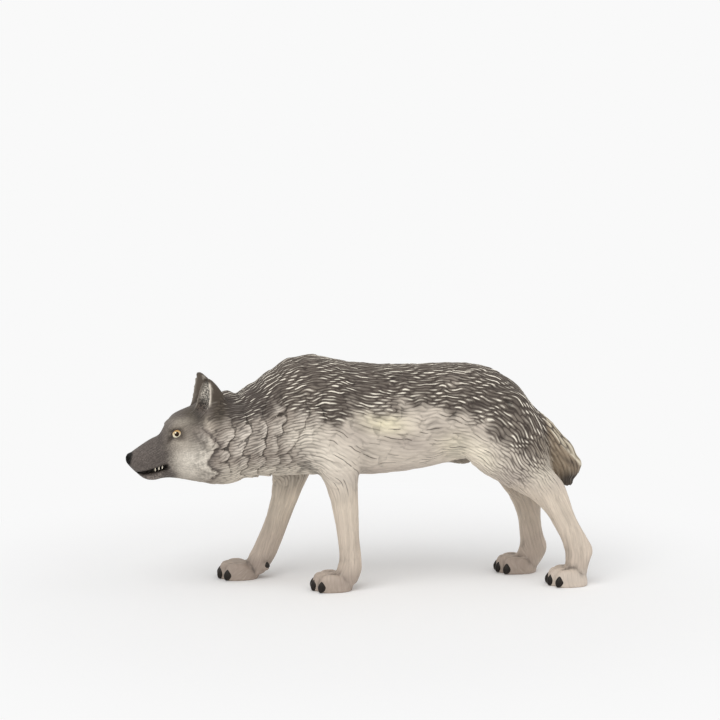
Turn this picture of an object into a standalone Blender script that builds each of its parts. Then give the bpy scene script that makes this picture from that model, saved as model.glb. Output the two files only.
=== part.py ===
"""Prowling wolf figurine, moulded in one piece of soft vinyl and standing on its four paws.

The animal looks along -X, its left side faces -Y and its soles lie at Z = 0.
Sizes are in millimetres. X is counted from the withers while the shape is made,
and the finished piece is moved so that the middle of its footprint is the origin.
"""

import bmesh
import bpy
import numpy as np

MM = 0.001

# Trunk, from the withers back to the end of the rump
TRUNK_LENGTH = 59.6
WITHERS_HEIGHT = 56.9
BACK_HEIGHT = 54.5
CHEST_DEPTH = 28.9
BELLY_HEIGHT = 31.3
CHEST_WIDTH = 22.6
WAIST_WIDTH = 19.6
RUMP_WIDTH = 19.0

# Neck and head, from the withers forward to the nose
NECK_LENGTH = 21.0
NECK_WIDTH = 18.4
THROAT_HEIGHT = 25.9
NAPE_HEIGHT = 47.6
HEAD_LENGTH = 24.0
HEAD_TURN_DEG = 8.0
NOSE_HEIGHT = 32.5
SKULL_RISE = 12.4
JAW_DROP = 5.2
SKULL_WIDTH = 16.4
MUZZLE_WIDTH = 7.4
EYE_RADIUS = 1.25
EYE_SPACING = 11.2

# Ears
EAR_HEIGHT = 9.4
EAR_WIDTH = 6.4
EAR_DEPTH = 9.6
EAR_WALL = 1.0
EAR_HOLLOW = 1.9
EAR_SPACING = 11.6

# Legs: half widths across, and where each foot stands beside the middle line
FORELEG_SPACING = 15.0
HINDLEG_SPACING = 15.2
FORELEG_WIDTH = 5.8
SHOULDER_WIDTH = 9.6
HINDLEG_WIDTH = 5.6
THIGH_WIDTH = 9.4

# Paws, toes and claws
PAW_LENGTH = 10.8
PAW_WIDTH = 8.2
PAW_HEIGHT = 4.8
TOE_LENGTH = 6.0
TOE_HEIGHT = 4.7
CLAW_LENGTH = 1.9
CLAW_HEIGHT = 2.6

# Tail
TAIL_LENGTH = 23.6
TAIL_WIDTH = 6.6
TAIL_THICKNESS = 8.2

# Coat: the coarse locks carved into the neck, trunk, thighs and tail
LOCK_LENGTH = 8.0
LOCK_WIDTH = 2.9
LOCK_RELIEF = 0.7
RUFF_PITCH = 5.0
RUFF_CLUMP_WIDTH = 3.3
RUFF_RELIEF = 0.85

# Working fineness
VOXEL = 0.42
SOFTEN_PASSES = 5
BLEND_PASSES = 40
MOST_TRIANGLES = 12000
FINE_FACTOR = 1.0
RING_POINTS = 40
SOLE_TRIM = 0.25

CHEST_FLOOR = WITHERS_HEIGHT - CHEST_DEPTH
SIDES = (-1, 1)
UP = np.array((0.0, 0.0, 1.0))


def smooth_rows(rows, steps=6):
    """Rows of numbers joined by a Catmull-Rom curve, with so many steps between two rows."""
    rows = np.array(rows, float)
    slope = np.gradient(rows, axis=0)
    place = np.linspace(0, len(rows) - 1, (len(rows) - 1) * steps + 1)
    low = np.minimum(place.astype(int), len(rows) - 2)
    t = (place - low)[:, None]
    start, end = rows[low], rows[low + 1]
    return (
        (2 * t**3 - 3 * t**2 + 1) * start
        + (t**3 - 2 * t**2 + t) * slope[low]
        + (3 * t**2 - 2 * t**3) * end
        + (t**3 - t**2) * slope[low + 1]
    )


def smoothstep(low, high, value):
    """0 below low, 1 above high and an S curve between them."""
    t = np.clip((value - low) / (high - low), 0, 1)
    return t * t * (3 - 2 * t)


class Shells:
    """Closed shells that overlap, to be melted into one piece."""

    def __init__(self):
        self.points = []
        self.faces = []
        self.count = 0

    def add_rings(self, rings):
        """Closes a stack of rings, an array of ring by point by XYZ, with a pole at each end."""
        layers, around, _ = rings.shape
        first = self.count
        ids = first + np.arange(layers * around).reshape(layers, around)
        after = np.roll(ids, -1, axis=1)
        quads = np.stack([ids[:-1], after[:-1], after[1:], ids[1:]], axis=-1).reshape(-1, 4)
        start, end = first + layers * around, first + layers * around + 1
        self.faces += quads.tolist()
        self.faces += [(start, int(b), int(a)) for a, b in zip(ids[0], after[0])]
        self.faces += [(end, int(a), int(b)) for a, b in zip(ids[-1], after[-1])]
        poles = np.stack([rings[0].mean(axis=0), rings[-1].mean(axis=0)])
        self.points += [rings.reshape(-1, 3), poles]
        self.count += layers * around + 2


def rounded(angle, squareness):
    """Cosine and sine of a superellipse: 2 is a circle and more is squarer."""
    c, s = np.cos(angle), np.sin(angle)
    power = 2 / squareness
    return np.sign(c) * np.abs(c) ** power, np.sign(s) * np.abs(s) ** power


def slices_along_x(rows, squareness=2.2):
    """Upright rings from rows of x, top, bottom, half width and the widest level as a share of the height."""
    x, top, bottom, half, level = np.array(rows, float).T[:, :, None]
    c, s = rounded(np.linspace(0, 2 * np.pi, RING_POINTS, endpoint=False)[None], squareness)
    widest = bottom + (top - bottom) * level
    z = widest + np.where(s > 0, (top - widest) * s, (widest - bottom) * s)
    return np.stack([x + 0 * z, half * c, z], axis=-1)


def slices_along_z(rows, squareness=2.2):
    """Level rings from rows of z, front x, rear x, middle y and half width."""
    z, front, rear, y, half = np.array(rows, float).T[:, :, None]
    c, s = rounded(np.linspace(0, 2 * np.pi, RING_POINTS, endpoint=False)[None], squareness)
    x = (front + rear) / 2 + (rear - front) / 2 * c
    return np.stack([x, y + half * s, z + 0 * x], axis=-1)


def blob(centre, half_sizes, squareness=2.2, layers=12):
    """A rounded lump, as rings across X."""
    along, girth = rounded(np.linspace(0.08, np.pi - 0.08, layers)[:, None], squareness)
    c, s = rounded(np.linspace(0, 2 * np.pi, 24, endpoint=False)[None], squareness)
    a, b, h = half_sizes
    x = -a * along + 0 * c
    return np.array(centre) + np.stack([x, b * girth * c, h * girth * s], axis=-1)


def trunk_rows():
    """Outline of the trunk: x, top, bottom, half width, widest level."""
    length, chest, waist, rump = TRUNK_LENGTH, CHEST_WIDTH / 2, WAIST_WIDTH / 2, RUMP_WIDTH / 2
    return [
        (0.00 * length, WITHERS_HEIGHT, CHEST_FLOOR, chest, 0.46),
        (0.07 * length, WITHERS_HEIGHT - 0.5, CHEST_FLOOR, chest, 0.47),
        (0.14 * length, BACK_HEIGHT + 0.7, CHEST_FLOOR - 0.1, chest, 0.48),
        (0.27 * length, BACK_HEIGHT, CHEST_FLOOR - 0.1, chest * 0.97, 0.49),
        (0.40 * length, BACK_HEIGHT - 0.1, CHEST_FLOOR + 0.6, chest * 0.94, 0.5),
        (0.50 * length, BACK_HEIGHT, BELLY_HEIGHT - 1.7, waist, 0.52),
        (0.59 * length, BACK_HEIGHT + 0.1, BELLY_HEIGHT - 0.3, waist, 0.54),
        (0.68 * length, BACK_HEIGHT - 0.2, BELLY_HEIGHT + 0.4, rump, 0.54),
        (0.76 * length, BACK_HEIGHT - 1.7, BELLY_HEIGHT + 0.4, rump, 0.54),
        (0.83 * length, BACK_HEIGHT - 4.0, BELLY_HEIGHT + 0.2, rump * 0.9, 0.52),
        (0.89 * length, BACK_HEIGHT - 7.6, BELLY_HEIGHT + 0.2, rump * 0.74, 0.5),
        (0.93 * length, BACK_HEIGHT - 11.8, BELLY_HEIGHT + 1.2, rump * 0.52, 0.5),
        (0.955 * length, BACK_HEIGHT - 15.0, BELLY_HEIGHT + 3.2, rump * 0.28, 0.5),
    ]


def neck_rows():
    """Outline of the neck and its ruff, from the nape back to the withers."""
    length, wide, chest = NECK_LENGTH, NECK_WIDTH / 2, CHEST_WIDTH / 2
    rise = WITHERS_HEIGHT - NAPE_HEIGHT
    return [
        (-1.00 * length, NAPE_HEIGHT, THROAT_HEIGHT, wide, 0.46),
        (-0.90 * length, NAPE_HEIGHT - 0.2, THROAT_HEIGHT + 0.5, wide, 0.46),
        (-0.76 * length, NAPE_HEIGHT + 0.13 * rise, THROAT_HEIGHT + 1.7, wide + 0.1, 0.47),
        (-0.57 * length, NAPE_HEIGHT + 0.42 * rise, CHEST_FLOOR, wide + 0.5, 0.47),
        (-0.38 * length, NAPE_HEIGHT + 0.74 * rise, CHEST_FLOOR - 0.1, (wide + chest) / 2, 0.46),
        (-0.19 * length, WITHERS_HEIGHT - 0.4, CHEST_FLOOR - 0.1, chest * 0.97, 0.46),
    ]


def head_rows():
    """Outline of the head, from the nose back to the nape."""
    nape, nose, half, skull = -NECK_LENGTH, NOSE_HEIGHT, MUZZLE_WIDTH / 2, SKULL_WIDTH / 2

    def row(share, rise, drop, width, level):
        return nape - share * HEAD_LENGTH, nose + rise, nose - drop, width, level

    return [
        row(1.00, 0.7, 0.5, half * 0.32, 0.5),
        row(0.98, 1.3, 1.0, half * 0.5, 0.5),
        row(0.94, 2.1, 2.1, half * 0.66, 0.52),
        row(0.88, 3.1, 3.5, half * 0.82, 0.5),
        row(0.81, 4.2, JAW_DROP - 0.5, half * 0.96, 0.48),
        row(0.73, 5.3, JAW_DROP - 0.2, half * 1.06, 0.46),
        row(0.655, 6.1, JAW_DROP - 0.6, half * 1.2, 0.46),
        row(0.61, SKULL_RISE - 4.4, JAW_DROP - 0.7, skull * 0.58, 0.47),
        row(0.55, SKULL_RISE - 2.1, JAW_DROP - 0.7, skull * 0.74, 0.48),
        row(0.46, SKULL_RISE - 0.8, JAW_DROP - 0.4, skull * 0.9, 0.46),
        row(0.34, SKULL_RISE + 0.3, JAW_DROP + 0.2, skull, 0.44),
        row(0.22, SKULL_RISE + 1.4, JAW_DROP + 0.7, (skull + NECK_WIDTH / 2) / 2, 0.44),
        row(0.10, (SKULL_RISE + 2.8 + NAPE_HEIGHT - nose) / 2, JAW_DROP + 1.2, NECK_WIDTH / 2, 0.45),
    ]


def body_rows():
    """The one outline from the nose to the rump."""
    return smooth_rows(head_rows() + neck_rows() + trunk_rows())


def level_height(level, joint_height, top_height):
    """Height of a leg's slice: 0 is the ground, 1 the elbow or knee and 2 the top of the shoulder or hip."""
    return np.interp(level, (0, 1, 2), (0, joint_height, top_height))


def leg_rows(table, origin_x, foot_y, top_y, joint_height, top_height, narrow, wide):
    """Slices of a leg from rows of level, front x, rear x and how far it has widened from narrow to wide."""
    rows = []
    for level, front, rear, widened in table:
        height = level_height(level, joint_height, top_height)
        y = foot_y + (top_y - foot_y) * smoothstep(0, 2, level)
        half = (narrow + (wide - narrow) * widened) / 2
        rows.append((height, origin_x + front, origin_x + rear, y, half))
    return smooth_rows(rows)


# Each row is level, front x and rear x in millimetres, and the widening from shank to shoulder or thigh
LEFT_FORELEG = (
    (0.06, 5.2, 10.8, 0.1),
    (0.17, 5.9, 12.0, 0.06),
    (0.28, 6.6, 12.0, 0.0),
    (0.43, 6.2, 11.5, 0.0),
    (0.62, 5.3, 11.3, 0.1),
    (0.80, 4.1, 11.2, 0.25),
    (0.96, 2.5, 11.1, 0.55),
    (1.12, 0.4, 11.8, 0.85),
    (1.35, -2.6, 12.6, 1.0),
    (1.62, -3.4, 11.6, 0.9),
    (1.85, -1.8, 9.4, 0.6),
    (1.98, 0.8, 6.8, 0.25),
)
RIGHT_FORELEG = (
    (0.05, -15.0, -11.2, 0.1),
    (0.16, -15.4, -8.9, 0.06),
    (0.28, -13.8, -7.2, 0.0),
    (0.43, -11.8, -5.5, 0.0),
    (0.58, -10.2, -3.8, 0.1),
    (0.75, -9.1, -1.7, 0.25),
    (0.93, -8.9, 0.7, 0.5),
    (1.12, -8.8, 3.0, 0.85),
    (1.35, -8.0, 6.4, 1.0),
    (1.62, -6.4, 6.6, 0.9),
    (1.85, -4.4, 5.2, 0.6),
    (1.98, -1.8, 3.0, 0.25),
)
LEFT_HINDLEG = (
    (0.05, 2.8, 8.2, 0.1),
    (0.18, 3.2, 9.0, 0.08),
    (0.28, 3.0, 10.0, 0.05),
    (0.37, 2.0, 8.7, 0.0),
    (0.47, 0.3, 6.8, 0.0),
    (0.57, -1.6, 5.2, 0.0),
    (0.67, -4.6, 4.1, 0.08),
    (0.75, -8.5, 3.4, 0.22),
    (0.84, -13.8, 2.2, 0.45),
    (0.94, -18.8, -0.6, 0.68),
    (1.06, -21.6, -1.7, 0.85),
    (1.25, -23.2, -2.1, 1.0),
    (1.50, -23.6, -3.5, 1.0),
    (1.75, -21.6, -6.0, 0.75),
    (1.97, -17.4, -9.6, 0.3),
)
RIGHT_HINDLEG = (
    (0.05, -6.4, -1.6, 0.1),
    (0.15, -6.1, 0.8, 0.08),
    (0.23, -5.4, 1.5, 0.05),
    (0.32, -5.5, 0.5, 0.0),
    (0.44, -6.0, -0.2, 0.0),
    (0.56, -7.2, -0.3, 0.05),
    (0.68, -9.4, -0.2, 0.15),
    (0.80, -12.8, 0.2, 0.4),
    (0.94, -18.0, 0.0, 0.68),
    (1.06, -21.6, -1.7, 0.85),
    (1.25, -23.2, -2.1, 1.0),
    (1.50, -23.6, -3.5, 1.0),
    (1.75, -21.6, -6.0, 0.75),
    (1.97, -17.4, -9.6, 0.3),
)

# Where the longest toe of each paw ends, in millimetres from the withers or from the end of the rump
LEFT_FORE_TOE = -0.9
RIGHT_FORE_TOE = -23.4
LEFT_HIND_TOE = -2.0
RIGHT_HIND_TOE = -12.3
LEFT_DEWCLAW = 10.2
RIGHT_DEWCLAW = -10.7
DEWCLAW_HEIGHT = 3.3


def add_legs(shells):
    elbow, shoulder = CHEST_FLOOR + 1.4, WITHERS_HEIGHT - 6.0
    knee, hip = BELLY_HEIGHT, BACK_HEIGHT - 5.0
    fore, hind = FORELEG_SPACING / 2, HINDLEG_SPACING / 2
    shoulder_y = (CHEST_WIDTH - SHOULDER_WIDTH) / 2 + 1.0
    hip_y = (RUMP_WIDTH - THIGH_WIDTH) / 2 + 1.4
    for side, table, toe, dewclaw_x in (
        (-1, LEFT_FORELEG, LEFT_FORE_TOE, LEFT_DEWCLAW),
        (1, RIGHT_FORELEG, RIGHT_FORE_TOE, RIGHT_DEWCLAW),
    ):
        rows = leg_rows(
            table, 0, side * fore, side * shoulder_y, elbow, shoulder, FORELEG_WIDTH, SHOULDER_WIDTH
        )
        shells.add_rings(slices_along_z(rows))
        add_paw(shells, toe, side * fore)
        dewclaw = (dewclaw_x, side * (fore - FORELEG_WIDTH * 0.48), DEWCLAW_HEIGHT)
        shells.add_rings(blob(dewclaw, (0.9, 0.7, 1.0), 2.0, 8))
    for side, table, toe in ((-1, LEFT_HINDLEG, LEFT_HIND_TOE), (1, RIGHT_HINDLEG, RIGHT_HIND_TOE)):
        rows = leg_rows(
            table, TRUNK_LENGTH, side * hind, side * hip_y, knee, hip, HINDLEG_WIDTH, THIGH_WIDTH
        )
        shells.add_rings(slices_along_z(rows))
        add_paw(shells, TRUNK_LENGTH + toe, side * hind)


def add_paw(shells, tip_x, y):
    """A paw with four toes side by side, each ending in a blunt claw. The outer toes stand back."""
    middle = tip_x + PAW_LENGTH / 2 + 0.8
    body = (PAW_LENGTH / 2 - 0.9, PAW_WIDTH / 2, PAW_HEIGHT - 0.9)
    shells.add_rings(blob((middle, y, 0.7), body, 2.4))
    gap = PAW_WIDTH / 4
    for place in (-1.5, -0.5, 0.5, 1.5):
        back = 0.0 if abs(place) < 1 else 1.7
        toe_y = y + place * gap
        toe_x = tip_x + back + TOE_LENGTH / 2 + 0.4
        toe = (TOE_LENGTH / 2, gap * 0.62, TOE_HEIGHT / 2 + 0.35)
        shells.add_rings(blob((toe_x, toe_y, TOE_HEIGHT / 2 - 0.4), toe, 2.7))
        claw_x = tip_x + back + CLAW_LENGTH / 2
        claw = (CLAW_LENGTH / 2, gap * 0.36, CLAW_HEIGHT / 2)
        shells.add_rings(blob((claw_x, toe_y, CLAW_HEIGHT / 2 + 0.1), claw, 2.0, 8))


def add_ear(shells, side):
    """A cupped ear, as crescents stacked from the skull to the tip. Its thick back slopes down to the nape."""
    rise = np.linspace(0, 1, 16)[:, None]
    arc = np.linspace(-np.pi / 2, np.pi / 2, 14)[None]
    back = np.array((0.92, -side * 0.39, 0.0))
    across = np.array((0.42, side * 0.91, 0.0))
    half = EAR_WIDTH / 2 * np.sqrt(1 - 0.97 * rise**2.1)
    depth = EAR_WALL + (EAR_DEPTH - EAR_WALL) * (1 - rise) ** 0.8
    cup = np.minimum(EAR_HOLLOW, depth - EAR_WALL * 0.6) * smoothstep(0.1, 0.4, rise)
    rim = np.maximum(half - EAR_WALL * 0.55, half * 0.35)

    def sheet(width, deep, turn):
        return (width * np.sin(turn))[..., None] * across + (deep * np.cos(turn))[..., None] * back

    section = np.concatenate([sheet(half, depth, arc), sheet(rim, cup, arc[:, ::-1])], axis=1)
    foot = np.array((-NECK_LENGTH - 6.6, side * EAR_SPACING / 2, NOSE_HEIGHT + SKULL_RISE - 1.6))
    lean = np.array((0.12, side * 0.16, 1.0))
    shells.add_rings(foot + section + (rise * EAR_HEIGHT)[..., None] * lean)


def add_tail(shells):
    """The hanging tail: rings square to a curve that drops from the rump, thickest at two thirds."""
    share = np.linspace(0, 1, 26)
    slope = np.radians(np.interp(share, (0, 0.35, 0.75, 1), (46, 54, 64, 84)))
    step = TAIL_LENGTH / 25
    x = TRUNK_LENGTH - 6.4 + np.concatenate([[0], np.cumsum(np.cos(slope[:-1]) * step)])
    z = BACK_HEIGHT - 11.0 - np.concatenate([[0], np.cumsum(np.sin(slope[:-1]) * step)])
    fat = np.interp(share, (0, 0.15, 0.4, 0.7, 0.88, 1), (0.45, 0.6, 0.86, 1.0, 0.8, 0.3))
    c, s = rounded(np.linspace(0, 2 * np.pi, RING_POINTS, endpoint=False)[None], 2.1)
    outward = np.stack([np.sin(slope), 0 * slope, np.cos(slope)], axis=-1)[:, None]
    sideways = np.array((0.0, 1.0, 0.0))
    middle = np.stack([x, 0 * x + 0.6, z], axis=-1)[:, None]
    thick = (fat[:, None] * s * TAIL_THICKNESS / 2)[..., None] * outward
    shells.add_rings(middle + thick + (fat[:, None] * c * TAIL_WIDTH / 2)[..., None] * sideways)


def add_head_forms(shells):
    """Brow ridges, cheekbones, the nose pad, the lower lip and the small sheath under the belly."""
    eye_x = -NECK_LENGTH - 0.52 * HEAD_LENGTH
    for side in SIDES:
        brow = (eye_x + 1.0, side * EYE_SPACING * 0.36, NOSE_HEIGHT + SKULL_RISE - 3.9)
        shells.add_rings(blob(brow, (2.6, 1.7, 1.5)))
        cheek = (eye_x + 3.6, side * SKULL_WIDTH * 0.33, NOSE_HEIGHT + 2.0)
        shells.add_rings(blob(cheek, (4.6, 2.9, 3.6)))
    nose_x = -NECK_LENGTH - HEAD_LENGTH
    shells.add_rings(blob((nose_x + 1.1, 0, NOSE_HEIGHT + 0.5), (1.3, MUZZLE_WIDTH * 0.24, 1.5)))
    jaw = (nose_x + 7.4, 0, NOSE_HEIGHT - JAW_DROP + 2.1)
    shells.add_rings(blob(jaw, (4.2, MUZZLE_WIDTH * 0.4, 1.5)))
    sheath = (TRUNK_LENGTH * 0.63, -0.6, BELLY_HEIGHT - 0.6)
    shells.add_rings(blob(sheath, (3.4, 1.3, 1.1)))


def melted(shells):
    """One skin round all the shells, with softened joins: its points and triangles."""
    mesh = bpy.data.meshes.new("shells")
    mesh.from_pydata(np.concatenate(shells.points).tolist(), [], shells.faces)
    scratch = bpy.data.objects.new("shells", mesh)
    bpy.context.collection.objects.link(scratch)
    remesh = scratch.modifiers.new("melt", "REMESH")
    remesh.mode = "VOXEL"
    remesh.voxel_size = VOXEL
    soften = scratch.modifiers.new("soften", "SMOOTH")
    soften.factor = 0.5
    soften.iterations = SOFTEN_PASSES
    skin = applied(scratch)
    bpy.data.objects.remove(scratch)
    return skin


def applied(thing):
    """The mesh of an object with its modifiers carried out."""
    graph = bpy.context.evaluated_depsgraph_get()
    return bpy.data.meshes.new_from_object(thing.evaluated_get(graph), depsgraph=graph)


def read_points(mesh):
    """Places and unit normals of a mesh's points, as two arrays."""
    points = np.empty(len(mesh.vertices) * 3)
    normals = np.empty(len(mesh.vertices) * 3)
    mesh.vertices.foreach_get("co", points)
    mesh.vertices.foreach_get("normal", normals)
    return points.reshape(-1, 3), normals.reshape(-1, 3)


def blended(skin, points):
    """The points with the legs and tail flowing into the trunk: each is drawn to the mean of its neighbours."""
    ends = np.empty(len(skin.edges) * 2, dtype=np.int64)
    skin.edges.foreach_get("vertices", ends)
    one, other = ends.reshape(-1, 2).T
    links = np.bincount(one, minlength=len(points)) + np.bincount(other, minlength=len(points))
    fleshy = smoothstep(CHEST_FLOOR - 3, CHEST_FLOOR + 5, points[:, 2])
    fleshy *= smoothstep(-NECK_LENGTH, -NECK_LENGTH * 0.5, points[:, 0])
    for _ in range(BLEND_PASSES):
        mean = np.stack(
            [
                np.bincount(one, points[other, axis], len(points))
                + np.bincount(other, points[one, axis], len(points))
                for axis in range(3)
            ],
            axis=-1,
        )
        points = points + (mean / links[:, None] - points) * (0.6 * fleshy[:, None])
    return points


def dab(points, centre, reach, shift):
    """Moves the points near a centre, fading out over the reach along X, Y and Z."""
    near = np.exp(-np.sum(((points - centre) / reach) ** 2, axis=1))
    return points + near[:, None] * np.array(shift)


def sculpt_face(points):
    """Eye sockets with their balls, the parted lips and the nostrils."""
    eye_x, eye_z = -NECK_LENGTH - 0.52 * HEAD_LENGTH, NOSE_HEIGHT + 6.9
    for side in SIDES:
        eye = np.array((eye_x, side * EYE_SPACING / 2, eye_z))
        points = dab(points, eye, (2.3, 2.4, 1.7), (0, -side * 1.0, 0))
        points = dab(points, eye, (EYE_RADIUS, 2.4, EYE_RADIUS), (0, side * 0.9, 0))
        nostril = (-NECK_LENGTH - HEAD_LENGTH + 0.4, side * MUZZLE_WIDTH * 0.17, NOSE_HEIGHT + 0.5)
        points = dab(points, nostril, (0.8, 0.6, 0.6), (0.45, 0, 0))
    lip_front = -NECK_LENGTH - 0.9 * HEAD_LENGTH
    lip_back = -NECK_LENGTH - 0.62 * HEAD_LENGTH
    along = np.clip((points[:, 0] - lip_front) / (lip_back - lip_front), 0, 1)
    line = NOSE_HEIGHT - 2.9 + 1.9 * along**1.5
    gape = 0.45 + 0.35 * along
    past = np.abs(points[:, 0] - lip_front - along * (lip_back - lip_front))
    slit = np.exp(-(((points[:, 2] - line) / gape) ** 2) - (past / 0.5) ** 2)
    points[:, 1] -= 1.25 * slit * np.sign(points[:, 1]) * (np.abs(points[:, 1]) > 0.6)
    return points


def lock_roots():
    """Roots of the coarse locks on the outline: place, lie, length, width, relief and how pointed the tip is.

    They stand in rings: even ones with blunt clumps on the ruff and scattered ones on the trunk.
    """
    chance = np.random.default_rng(7)
    rings = slices_along_x(body_rows())
    ring_x = rings[:, 0, 0]
    ruff_end = -0.1 * NECK_LENGTH
    ruff = np.arange(-NECK_LENGTH - 0.34 * HEAD_LENGTH, ruff_end, RUFF_PITCH)
    trunk = np.arange(ruff_end, TRUNK_LENGTH * 0.93, LOCK_LENGTH * 0.42)
    found = []
    for row, x in enumerate(np.concatenate([ruff, trunk])):
        on_ruff = row < len(ruff)
        width = RUFF_CLUMP_WIDTH if on_ruff else LOCK_WIDTH
        ring = rings[np.argmin(np.abs(ring_x - x))]
        girth = np.linalg.norm(np.roll(ring, -1, axis=0) - ring, axis=1).sum()
        count = max(6, int(girth / (width * 0.85)))
        spread = (np.arange(count) + 0.5 * (row % 2) + chance.uniform(-0.25, 0.25, count)) / count
        place = ring[(spread * RING_POINTS).astype(int) % RING_POINTS].copy()
        place[:, 0] += chance.uniform(-0.3, 0.3, count) * (0.3 if on_ruff else 1) * LOCK_LENGTH * 0.42
        flank = np.clip((WITHERS_HEIGHT - place[:, 2]) / CHEST_DEPTH, 0, 1)
        fall = 0.15 + 0.5 * flank + 0.7 * smoothstep(0.5, 0.9, x / TRUNK_LENGTH)
        lie = np.stack([np.ones(count), np.zeros(count), -fall], axis=-1)
        kind = (RUFF_PITCH * 1.25, width, RUFF_RELIEF, 3.0) if on_ruff else (LOCK_LENGTH, width, LOCK_RELIEF, 1.3)
        found += [(root, flow) + kind for root, flow in zip(place, lie)]
    return found


def comb(points, normals):
    """Raises overlapping locks: each swells from its root to its tip and ends in a small step."""
    height = np.zeros(len(points))
    for root, flow, length, width, relief, blunt in lock_roots():
        offset = points - root
        near = np.flatnonzero(np.sum(offset**2, axis=1) < (length * 1.1) ** 2)
        normal = normals[near]
        lie = flow - np.sum(normal * flow, axis=1)[:, None] * normal
        lie /= np.linalg.norm(lie, axis=1)[:, None] + 1e-9
        side = np.cross(normal, lie)
        along = np.sum(offset[near] * lie, axis=1) / length
        across = np.sum(offset[near] * side, axis=1) / (width / 2)
        taper = np.clip(1 - np.clip(along, 0, 1) ** (blunt * 1.4), 0, 1) ** 0.6
        crown = np.clip(1 - (across / (taper + 0.05)) ** 2, 0, 1)
        swell = np.clip(along, 0, 1) * (1 - smoothstep(0.88, 1.0, along))
        height[near] = np.maximum(height[near], relief * swell * crown**0.6)
    return height


def coat_cover(points):
    """How much coat a place carries: none on the face, ears, lower legs and paws."""
    x, z = points[:, 0], points[:, 2]
    behind_face = smoothstep(-NECK_LENGTH - 0.36 * HEAD_LENGTH, -NECK_LENGTH - 0.12 * HEAD_LENGTH, x)
    below_ears = 1 - smoothstep(NAPE_HEIGHT - 2.4, NAPE_HEIGHT - 0.8, z) * (x < -NECK_LENGTH + 1)
    tail = (x > TRUNK_LENGTH - 3) * (np.abs(points[:, 1]) < TAIL_WIDTH / 2 + 0.6)
    above_legs = np.where(tail, 1, smoothstep(CHEST_FLOOR - 7, CHEST_FLOOR + 6, z))
    return behind_face * below_ears * above_legs


def turn_head(points):
    """Turns what lies in front of the neck towards -Y, about an upright line through the neck."""
    pivot = -0.67 * NECK_LENGTH
    share = smoothstep(0, 0.6 * NECK_LENGTH, pivot - points[:, 0] + 0.25 * NECK_LENGTH)
    angle = np.radians(HEAD_TURN_DEG) * share
    low = smoothstep(THROAT_HEIGHT - 3, THROAT_HEIGHT, points[:, 2])
    angle *= low
    x, y = points[:, 0] - pivot, points[:, 1].copy()
    points[:, 0] = pivot + x * np.cos(angle) - y * np.sin(angle)
    points[:, 1] = x * np.sin(angle) + y * np.cos(angle)
    return points


def trimmed(mesh):
    """Cuts the soles flat, fills the cuts and stands the piece on Z = 0 with the footprint's middle at the origin."""
    edit = bmesh.new()
    edit.from_mesh(mesh)
    edges = edit.verts[:] + edit.edges[:] + edit.faces[:]
    bmesh.ops.bisect_plane(edit, geom=edges, plane_co=(0, 0, SOLE_TRIM), plane_no=(0, 0, -1), clear_outer=True)
    rims = [edge for edge in edit.edges if edge.is_boundary]
    bmesh.ops.holes_fill(edit, edges=rims, sides=0)
    bmesh.ops.triangulate(edit, faces=edit.faces[:])
    bmesh.ops.recalc_face_normals(edit, faces=edit.faces[:])
    places = np.array([vert.co for vert in edit.verts])
    low, high = places.min(axis=0), places.max(axis=0)
    middle = (low + high) / 2
    bmesh.ops.translate(edit, verts=edit.verts[:], vec=(-middle[0], -middle[1], -SOLE_TRIM))
    bmesh.ops.scale(edit, verts=edit.verts[:], vec=(MM, MM, MM))
    edit.to_mesh(mesh)
    edit.free()


def vinyl():
    """Matt painted vinyl in the coat's middle grey."""
    material = bpy.data.materials.new("painted_vinyl")
    material.use_nodes = True
    shader = material.node_tree.nodes["Principled BSDF"]
    shader.inputs["Base Color"].default_value = (0.35, 0.31, 0.27, 1)
    shader.inputs["Roughness"].default_value = 0.62
    shader.inputs["Metallic"].default_value = 0
    return material


def keep_fine(wolf, points):
    """Marks how freely the skin may be thinned: least on the face, ears and paws."""
    head = smoothstep(-NECK_LENGTH - 0.25 * HEAD_LENGTH, -NECK_LENGTH + 1, points[:, 0])
    paws = smoothstep(TOE_HEIGHT, TOE_HEIGHT + 3, points[:, 2])
    group = wolf.vertex_groups.new(name="coarse")
    freedom = np.minimum(head, paws)
    for level in range(5):
        picked = np.flatnonzero(np.round(freedom * 4) == level)
        group.add(picked.tolist(), 0.3 + 0.7 * level / 4, "REPLACE")


def build_wolf():
    shells = Shells()
    shells.add_rings(slices_along_x(body_rows()))
    add_head_forms(shells)
    for side in SIDES:
        add_ear(shells, side)
    add_legs(shells)
    add_tail(shells)
    skin = melted(shells)
    points = blended(skin, read_points(skin)[0])
    skin.vertices.foreach_set("co", points.ravel())
    skin.update()
    points, normals = read_points(skin)
    points = sculpt_face(points)
    raised = comb(points, normals) * coat_cover(points)
    points += normals * raised[:, None]
    points = turn_head(points)
    skin.vertices.foreach_set("co", points.ravel())
    skin.update()
    wolf = bpy.data.objects.new("wolf", skin)
    bpy.context.collection.objects.link(wolf)
    skin.calc_loop_triangles()
    keep_fine(wolf, points)
    thin = wolf.modifiers.new("thin", "DECIMATE")
    thin.ratio = min(1.0, MOST_TRIANGLES / len(skin.loop_triangles))
    thin.vertex_group = "coarse"
    thin.vertex_group_factor = FINE_FACTOR
    cast = applied(wolf)
    wolf.modifiers.clear()
    wolf.data = cast
    cast.name = "wolf"
    trimmed(cast)
    cast.shade_smooth()
    cast.materials.append(vinyl())


for thing in list(bpy.data.objects):
    bpy.data.objects.remove(thing)
build_wolf()
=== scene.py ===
import math

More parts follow.
